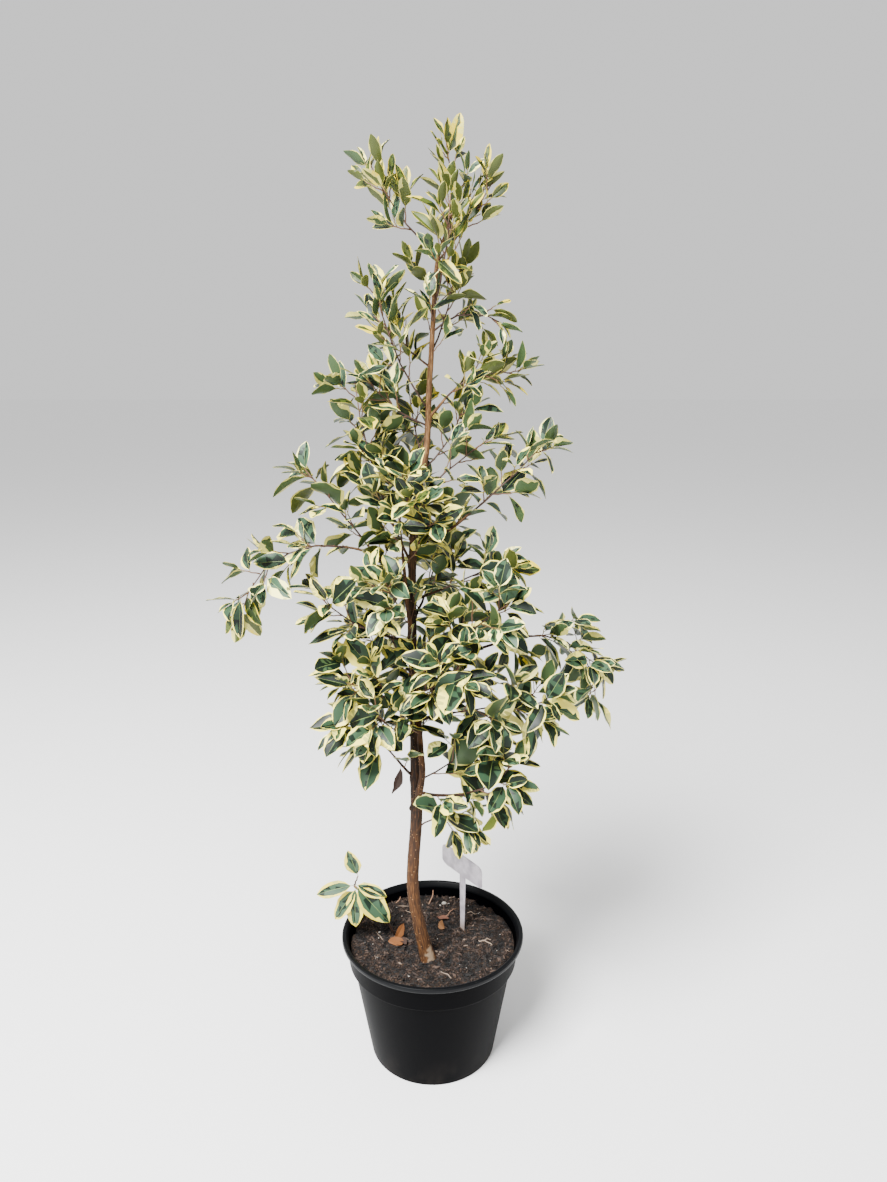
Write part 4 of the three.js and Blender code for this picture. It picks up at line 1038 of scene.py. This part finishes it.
# The least distance of a leaf from the next one on its own shoot and on another, as shares of its length
OWN_GAP, OTHER_GAP = 0.21, 0.38
LIMB_CLEARANCE = 2.0
MOST_ON_SHOOT = 24
# Leaves rooted below the first height are the low shoot's, and the second parts the crown in two pieces
LOW_SHOOT_TOP, CROWN_SPLIT = 360, 770


def square_to(face, direction):
    """The part of each face direction that is square to the leaf's own direction, made one long."""
    face = face - (face * direction).sum(axis=1, keepdims=True) * direction
    return face / np.linalg.norm(face, axis=1, keepdims=True)


def leaf_places(shoot):
    """Leaves stand in turn round a shoot, 1.5 j + 1.1 j j mm from its tip, and spread wider the further they
    are from it. They face up, outward and along the shoot, each is tilted its own way, and high in the
    crown they rise. A leaf's length grows over the first 14 mm from the tip, from 0.64 to 1.02 of the
    shoot's."""
    path, seed, twig, hang = shoot["path"], shoot["seed"], shoot["twig"], shoot["hang"]
    length = np.linalg.norm(np.diff(path, axis=0), axis=1).sum()
    j = np.arange(MOST_ON_SHOOT)
    from_tip = 1.5 * j + 1.1 * j ** 2
    j, from_tip = j[from_tip < length * shoot["leafy"]], from_tip[from_tip < length * shoot["leafy"]]
    root, stem = place_along(path, np.maximum(length - from_tip - 0.8, 0))
    turn = TURN_APART * j + 360 * chance(seed, twig, 4) + scattered(30, seed, twig, j, 5)
    splay = 20 + 44 * (1 - np.exp(-from_tip / 9)) + scattered(24, seed, twig, j, 6)
    direction = forked_from(stem, np.array([0.3, 1, 0]), turn, splay)
    direction[:, 2] -= hang * (0.25 + 0.75 * chance(seed, twig, j, 7))
    direction[:, 2] += 0.4 * np.clip((root[:, 2] - 1000) / 300, 0, 1)
    direction /= np.linalg.norm(direction, axis=1, keepdims=True)
    outward = root * [1, 1, 0] / (np.hypot(root[:, :1], root[:, 1:2]) + 1)
    face = 0.8 * UP + 0.5 * stem + 0.4 * outward
    face[:, 0] += scattered(1.4, seed, twig, j, 8)
    face[:, 1] += scattered(1.4, seed, twig, j, 9)
    age = 0.64 + 0.38 * np.minimum(1, from_tip / 14)
    size = shoot["leaf"] * age * (1 + scattered(0.4, seed, twig, j, 10))
    return root, direction, square_to(face, direction), size


# Thickness of the boughs and of the label's plate as leaves keep clear of them, and where the pot is: leaves
# stay over its rim, or within its wall and over the mix
BOUGH_RADIUS, PLATE_RADIUS, PLATE_HALF_WIDTH, PLATE_MIDDLE = 2.6, 20.0, 48, 316
OVER_RIM, WITHIN_WALL, OVER_MIX = 216, 127, 199


def clear_of_limbs(points):
    """True for leaves whose points, an array (leaves, points, 3), all stay clear of every limb, of the
    label and of the pot, and over the potting mix."""
    clear = np.ones(len(points), bool)
    lines = [(trunk_line, station_path(TRUNK, 60)[1]), (second_line, station_path(SECOND_STEM, 30)[1])]
    lines += [(path, np.full(len(path), BOUGH_RADIUS)) for path in bough_paths.values()]
    across_plate = np.linspace(-PLATE_HALF_WIDTH, PLATE_HALF_WIDTH, 9)[:, None]
    plate = np.array([[np.cos(LABEL_TURN), np.sin(LABEL_TURN), 0]]) * across_plate
    lines.append((plate + [LABEL_X, LABEL_Y, PLATE_MIDDLE], np.full(9, PLATE_RADIUS)))
    for line, radius in lines:
        for a, b, thick in zip(line[:-1], line[1:], radius):
            step = b - a
            t = np.clip(((points - a) @ step) / (step @ step), 0, 1)
            away = np.linalg.norm(points - a - t[..., None] * step, axis=-1)
            clear &= np.all(away > thick + LIMB_CLEARANCE, axis=1)
    from_axis = np.hypot(points[..., 0], points[..., 1])
    height = points[..., 2]
    return clear & np.all((height > OVER_RIM) | (from_axis < WITHIN_WALL) & (height > OVER_MIX), axis=1)


def spaced_out(centres, size, shoot_of):
    """True for each leaf whose centre keeps its distance from every leaf kept before it: a share of its
    size, which is less where both stand on one shoot."""
    kept = np.zeros(len(centres), bool)
    for k in range(len(centres)):
        gap = size[k] * np.where(shoot_of[:k] == shoot_of[k], OWN_GAP, OTHER_GAP)
        near = np.linalg.norm(centres[:k] - centres[k], axis=1) < gap
        kept[k] = not np.any(near & kept[:k])
    return kept


found = [leaf_places(shoot) for shoot in shoots]
per_shoot = np.array([len(places[3]) for places in found])
root, direction, face, size = (np.concatenate([places[k] for places in found]) for k in range(4))
shoot_of = np.repeat(np.arange(len(shoots)), per_shoot)
kind = np.array([shoots[k]["kind"] for k in shoot_of])
sample_shares = np.array([0.35, 0.55, 0.78, 1.0])
samples = root[:, None] + direction[:, None] * size[:, None, None] * sample_shares[:, None]
good = clear_of_limbs(samples)
good &= np.array([within_reach(tip, shoots[k]["mass"], LEAF_SLACK)
                  for tip, k in zip(samples[:, -1], shoot_of)])
order = np.argsort(np.select([kind == "side", kind == "stem", kind == "fine"], [0, 1, 2], 3), kind="stable")
order = order[good[order]]
order = order[spaced_out(samples[order, 1], size[order], shoot_of[order])]
root, direction, face, size, shoot_of = (values[order] for values in (root, direction, face, size, shoot_of))

# The last leaves of the low shoot, the leader and the rear twig are few and plain to see, so each is placed:
# the distance of its root from its shoot's tip, its direction and its length. PLACED_FACE is the way that
# they face
PLACED_LEAVES = {
    "low_shoot": [(0.5, (-0.3, -0.1, 1.0), 52), (18, (-1, -0.25, -0.06), 62),
                  (26, (-0.76, -0.3, -0.8), 66), (20, (-0.02, -0.35, -0.95), 68),
                  (16, (0.94, -0.3, -0.2), 56), (17, (0.76, -0.35, -0.7), 84)],
    "leader_top": [(0.5, (-0.5, -0.2, 0.85), 27), (24, (0.33, -0.15, 0.94), 54), (12, (0.1, -0.6, 0.8), 34)],
    "low_rear": [(0.5, (0.1, 1.0, -0.12), 48), (7, (0.75, 0.7, 0.1), 44), (15, (-0.3, 0.85, 0.45), 46)],
}
PLACED_FACE = {"low_shoot": (-0.15, -0.75, 0.7), "leader_top": (0.3, -0.9, 0.2),
               "low_rear": (0.1, 0.35, 0.93)}
for number, (name, leaves) in enumerate(PLACED_LEAVES.items()):
    length = np.linalg.norm(np.diff(last_twigs[name], axis=0), axis=1).sum()
    placed_root, _ = place_along(last_twigs[name], length - np.array([leaf[0] for leaf in leaves]))
    placed_way = np.array([leaf[1] for leaf in leaves], float)
    placed_way /= np.linalg.norm(placed_way, axis=1, keepdims=True)
    root = np.vstack([root, placed_root])
    direction = np.vstack([direction, placed_way])
    face = np.vstack([face, square_to(np.tile(PLACED_FACE[name], (len(leaves), 1)), placed_way)])
    size = np.concatenate([size, [leaf[2] for leaf in leaves]])
    shoot_of = np.concatenate([shoot_of, np.full(len(leaves), len(shoots) + number)])

# High leaves are slimmer and have less cream, and those of the low shoot are slim, with more of it
low_down = root[:, 2] < LOW_SHOOT_TOP
width = WIDTH_SHARE - 0.16 * np.clip((root[:, 2] - 900) / 350, 0, 1) - 0.06 * low_down
less_cream = 0.1 * np.clip((root[:, 2] - 950) / 250, 0, 1)
creamy = np.where(shoot_of == len(shoots), 0.2, -less_cream)


def outline_of(share):
    """Half width of the blade, as a share of its most, at a share of its length: x^0.75 (1 - x)^0.8 over
    its own greatest value, where x runs from the stalk's end to the tip."""
    x = np.clip((share - STALK) / (1 - STALK), 0, 1)
    best = 0.75 / 1.55
    return x ** 0.75 * (1 - x) ** 0.8 / (best ** 0.75 * (1 - best) ** 0.8)


def leaf_blades(root, direction, face, size, dice, width, creamy, curl=1.0, fold=(0.2, 0.75)):
    """Leaves as one mesh. On the upper side rows of eight points run across the blade, swept forward
    towards its edge as the side veins are: edge, margin line, patch line and midrib on each side. Each
    point is shifted a little along the leaf, so that the zones' borders are ragged. Height is
    fold |y| (1 - 0.4 |y| / W), plus a wave at the edge and a twist, minus curl L s s along the leaf.
    The underside has three points a row between the same edges, and the stalk is a slim three-sided
    spike. Returns points, faces and, for each face, its zone: 0 cream, 1 grey-green, 2 dark green,
    3 midrib, 4 underside, 5 stalk, 6 cream below. A leaf's margin is wider by what it has of creamy."""
    n, rows = len(size), len(STATIONS)
    whole = size[:, None, None]
    share = STATIONS[None, :, None]
    row = np.arange(rows)[None, :, None]
    # The margin's width wavers from row to row, and a quarter of the half blades turn cream from some row on
    margin = dice.uniform(0.02, 0.1, (n, 1, 2)) + np.abs(dice.normal(0, 0.15, (n, rows, 2)))
    margin = margin + np.reshape(creamy, (-1, 1, 1)) * dice.uniform(0.6, 1.5, (n, rows, 2))
    wide = (dice.uniform(0, 1, (n, 1, 2)) < 0.27) & (row >= dice.integers(0, 4, (n, 1, 2)))
    margin = np.where(wide, dice.uniform(0.45, 0.92, (n, rows, 2)), np.clip(margin, 0.07, 0.7))
    vein = (0.024 * (1 - 0.5 * STATIONS))[None, :, None] + np.zeros((n, rows, 2))
    patch = np.clip(dice.normal(0.5, 0.25, (n, rows, 2)), 0.15, 0.85) * (1 - margin)
    levels = np.stack([np.ones((n, rows, 2)), 1 - margin, np.maximum(patch, vein + 0.02), vein], axis=-1)
    levels[..., 1] = np.maximum(levels[..., 1], levels[..., 2] + 0.02)
    across = np.concatenate([-levels[:, :, 0], levels[:, :, 1, ::-1]], axis=-1)
    ragged = dice.normal(0, 1, across.shape) * np.array([0.01, 0.028, 0.03, 0.005, 0.005, 0.03, 0.028, 0.01])
    swept = share + 0.07 * np.abs(across) * np.sin(np.pi * share) + ragged
    half = outline_of(swept) * whole * dice.uniform(0.86, 1.14, (n, 1, 1)) * np.reshape(width, (-1, 1, 1)) / 2
    half = half * (1 + dice.normal(0, 0.06, across.shape) * (np.abs(across) > 0.99))
    y = across * half
    slope = dice.uniform(*fold, (n, 1, 1))
    wave, phase = dice.uniform(0.005, 0.04, (n, 1, 1)) * whole, dice.uniform(0, 2 * np.pi, (n, 1, 1))
    bend, twist = curl * dice.uniform(-0.04, 0.3, (n, 1, 1)), dice.normal(0, 0.25, (n, 1, 1))

    def placed(along, y, across, drop=0):
        """Points from their places along and across each leaf, at the blade's height less a drop."""
        height = slope * np.abs(y) * (1 - 0.4 * np.abs(across)) - bend * whole * along ** 2
        height = height + wave * np.sin(9 * along + phase + 1.7 * (y > 0)) * across ** 2 + twist * along * y
        local = np.stack([along * whole, y, height - drop], axis=-1)
        return root[:, None, None] + np.einsum("nrcd,nde->nrce", local, leaf_frame)

    leaf_frame = np.stack([direction, np.cross(face, direction), face], axis=1)
    top = placed(swept, y, across).reshape(n, 8 * rows, 3)
    ends = placed(np.array([STALK, 1.0])[None, :, None] + np.zeros((n, 2, 1)), np.zeros((n, 2, 1)), 0)
    middle = np.zeros((n, rows, 1))
    under = placed(*(np.concatenate([values[:, :, 1:2], centre, values[:, :, 6:7]], axis=2) for values, centre
                     in ((swept, share + middle), (y, middle), (across, middle))), drop=0.005 * whole)
    spike = np.einsum("rd,nde->nre", np.array([[0, 0, 0.6], [0, 0.5, -0.4], [0, -0.5, -0.4]]), leaf_frame)
    spike_end = direction * (0.3 * size)[:, None] - face * (bend[:, 0, 0] * 0.09 * size + 0.45)[:, None]
    points = np.concatenate([top, ends.reshape(n, 2, 3), under.reshape(n, 3 * rows, 3), root[:, None] + spike,
                             (root + spike_end)[:, None]], axis=1)

    grid = np.arange(8 * rows).reshape(rows, 8)
    first, last = 8 * rows, 8 * rows + 1
    lower = last + 1 + np.arange(3 * rows).reshape(rows, 3)
    below = np.concatenate([grid[:, :1], lower, grid[:, 7:]], axis=1)
    stalk = last + 1 + 3 * rows
    fours = [
        np.stack([grid[:-1, :-1], grid[1:, :-1], grid[1:, 1:], grid[:-1, 1:]], axis=-1).reshape(-1, 4),
        np.stack([below[:-1, 1:], below[1:, 1:], below[1:, :-1], below[:-1, :-1]], axis=-1).reshape(-1, 4),
    ]
    threes = [np.stack([np.full(7, first), grid[0, :-1], grid[0, 1:]], axis=-1),
              np.stack([grid[-1, :-1], np.full(7, last), grid[-1, 1:]], axis=-1),
              np.stack([below[0, 1:], below[0, :-1], np.full(4, first)], axis=-1),
              np.stack([below[-1, 1:], np.full(4, last), below[-1, :-1]], axis=-1),
              stalk + np.array([[0, 1, 2], [0, 3, 1], [1, 3, 2], [2, 3, 0]])]
    shift = (stalk + 4) * np.arange(n)[:, None, None]
    fours, threes = np.concatenate(fours)[None] + shift, np.concatenate(threes)[None] + shift

    # Over half of the leaves are mostly dark green and the rest mostly grey-green, face by face
    zone = np.broadcast_to(np.array([0, 1, 2, 3, 2, 1, 0]), (n, rows + 1, 7)).copy()
    dark_leaf = dice.uniform(0, 1, (n, 1, 1)) < 0.55
    swap = dice.uniform(0, 1, zone.shape)
    zone = np.where((zone == 1) & (swap < np.where(dark_leaf, 0.62, 0.15)), 2,
                    np.where((zone == 2) & (swap < np.where(dark_leaf, 0.1, 0.5)), 1, zone))
    tip = zone[:, -1]
    zone[:, -1] = np.where((dice.uniform(0, 1, tip.shape) < 0.4) & (tip == 1), 0, tip)
    below_zone = np.broadcast_to(np.array([6, 4, 4, 6]), (n, rows + 1, 4))
    four_zone = np.concatenate([zone[:, 1:-1].reshape(n, -1), below_zone[:, 1:-1].reshape(n, -1)], axis=1)
    three_zone = np.concatenate([zone[:, 0], zone[:, -1], below_zone[:, 0], below_zone[:, 0],
                                 np.full((n, 4), 5)], axis=1)
    return points.reshape(-1, 3), fours.reshape(-1, 4), threes.reshape(-1, 3), four_zone, three_zone


def crease(piece):
    """Makes each leaf's outline and its midrib sharp, so that the light breaks there. Those are the edges
    between points that are the leaf's two ends or the first, fourth, fifth and last of a row. A leaf has
    eight points a row above and three below, its two ends and four points of its stalk."""
    edges = np.empty(2 * len(piece.data.edges), np.int32)
    piece.data.edges.foreach_get("vertices", edges)
    rows = len(STATIONS)
    points_of_leaf = 8 * rows + 3 * rows + 2 + 4
    place = edges.reshape(-1, 2) % points_of_leaf
    sharp = np.isin(place % 8, [0, 3, 4, 7]) & (place < 8 * rows) | np.isin(place, [8 * rows, 8 * rows + 1])
    mark = piece.data.attributes.new("sharp_edge", "BOOLEAN", "EDGE")
    mark.data.foreach_set("value", sharp.all(axis=1))


# The colours of each zone, in the zones' order
leaf_colours = {
    "leaf_cream": [(248, 233, 106), (208, 186, 48), (252, 243, 144), (226, 207, 78)],
    "leaf_grey_green": [(53, 79, 57), (41, 65, 45), (69, 81, 26)],
    "leaf_dark_green": [(12, 29, 18), (9, 22, 13), (27, 40, 9)],
    "leaf_midrib": [(120, 140, 78)],
    "leaf_underside": [(54, 73, 42), (64, 73, 23)],
    "leaf_stalk": [(160, 152, 64)],
    "leaf_underside_cream": [(190, 184, 96)],
}
leaf_finishes = [
    plain_finish(f"{name}_{number}", screen_colour(*colour), 0.46, Specular_IOR_Level=0.28)
    for name, colours in leaf_colours.items() for number, colour in enumerate(colours, 1)
]
# A spray of leaves shares its tints. More sprays are young and yellow towards the top, and the low shoot
# has a duller cream of its own, the last one
spray = chance(77, shoot_of)
yellow = (chance(78, shoot_of) < np.clip((root[:, 2] - 1000) / 320, 0.06, 0.85)) & ~low_down
tint = np.where(yellow, 2, (spray < 0.45).astype(int))
cream_tint = np.where(low_down, 3, np.where(yellow, 1, np.where(spray < 0.6, 0, 2)))
first_slot = np.cumsum([0] + [len(colours) for colours in leaf_colours.values()])[:-1]


def slots_for(zone, part):
    """Each face's place in the list of finishes, from its zone and its spray's tint."""
    own = np.where(zone == 0, cream_tint[part, None],
                   np.where((zone == 1) | (zone == 2), tint[part, None], (zone == 4) & yellow[part, None]))
    return (first_slot[zone] + own).ravel()


leaf_dice = np.random.default_rng(41)
in_lower_crown = root[:, 2] < CROWN_SPLIT
for name, part in (("leaves_lower_crown", in_lower_crown), ("leaves_upper_crown", ~in_lower_crown)):
    points, fours, threes, four_zone, three_zone = leaf_blades(
        root[part], direction[part], face[part], size[part], leaf_dice, width[part], creamy[part])
    slots = np.concatenate([slots_for(four_zone, part), slots_for(three_zone, part)])
    leaves = make_piece(name, points, fours, threes, leaf_finishes, slots)
    crease(leaves)
    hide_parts(*mass_nodes)


# Dead leaves
# Five dry leaves that have dropped on the potting mix, and one that hangs shrivelled from the low left
# bough. They are stiff, curled and folded, and orange to dark brown.

# Each dead leaf: the place of its root, its bearing and rise, the way it faces, its length, its width as a
# share of that, and its finish
DEAD_LEAVES = [
    ((-64, -12, 199), 40, 40, (0.4, -0.9, 0.1), 32, 0.5, 0),
    ((10, 44, 198), 285, 12, (-0.5, -0.6, 0.6), 26, 0.5, 1),
    ((6, 58, 198), 335, 8, (0.4, -0.3, 0.9), 24, 0.5, 2),
    ((-48, -23.6, 519.5), 205, -80, (0.5, -0.8, 0.1), 54, 0.28, 3),
    ((-44, -14, 200), 190, 8, (0.1, -0.6, 0.8), 30, 0.5, 0),
    ((-58, -2, 201), 310, 8, (0.5, -0.5, 0.7), 24, 0.5, 3),
]
DEAD_CURL = 1.8
dead_root, dead_bearing, dead_rise, dead_face, dead_size, dead_width, dead_tint = (
    np.array(values) for values in zip(*DEAD_LEAVES))
dead_way = heading(dead_bearing, dead_rise)
points, fours, threes, four_zone, three_zone = leaf_blades(
    dead_root, dead_way, square_to(dead_face, dead_way), dead_size, np.random.default_rng(8), dead_width,
    creamy=0.0, curl=DEAD_CURL)
dead_finishes = [
    plain_finish("dead_leaf_orange", screen_colour(108, 62, 20), 0.75),
    plain_finish("dead_leaf_tan", screen_colour(106, 70, 36), 0.75),
    plain_finish("dead_leaf_red_brown", screen_colour(96, 58, 40), 0.7),
    plain_finish("dead_leaf_dark", screen_colour(46, 25, 12), 0.75),
]
dead_colour = np.concatenate([(dead_tint[:, None] + 0 * zone).ravel() for zone in (four_zone, three_zone)])
dead = make_piece("dead_leaves", points, fours, threes, dead_finishes, dead_colour)
crease(dead)


# Studio floor, light and camera
# A wide pale floor under an even white sky, with one broad soft light above, in front and to the left. The
# camera has the photograph's place and lens.

FLOOR_REACH = 40000
floor_corners = FLOOR_REACH * np.array([[-1, -1, 0], [1, -1, 0], [1, 1, 0], [-1, 1, 0]])
floor_mesh = bpy.data.meshes.new("floor")
floor_mesh.from_pydata((floor_corners * 0.001).tolist(), [], [[0, 1, 2, 3]])
floor_pale = plain_finish("studio_floor", (0.96, 0.96, 0.96, 1.0), 0.9, Specular_IOR_Level=0.1)
floor_mesh.materials.append(floor_pale)
floor = bpy.data.objects.new("floor", floor_mesh)
bpy.context.scene.collection.objects.link(floor)

world = bpy.data.worlds.new("studio_sky")
world.use_nodes = True
world.node_tree.nodes["Background"].inputs["Color"].default_value = (1.0, 1.0, 1.0, 1.0)
world.node_tree.nodes["Background"].inputs["Strength"].default_value = 0.95
bpy.context.scene.world = world

lamp_data = bpy.data.lights.new("soft_light", "AREA")
lamp_data.energy = 640
lamp_data.size = 1.7
lamp = bpy.data.objects.new("soft_light", lamp_data)
lamp.location = (-1.3, -1.9, 3.4)
lamp.rotation_euler = (np.radians(36), 0, np.radians(-32))
bpy.context.scene.collection.objects.link(lamp)

camera_data = bpy.data.cameras.new("camera")
camera_data.sensor_fit = "VERTICAL"
camera_data.sensor_height = 36
camera_data.lens = 27.05
camera = bpy.data.objects.new("camera", camera_data)
camera.location = (0.018, -1.302, 1.110)
camera.rotation_euler = (np.radians(76.3), 0, 0)
bpy.context.scene.collection.objects.link(camera)
bpy.context.scene.camera = camera
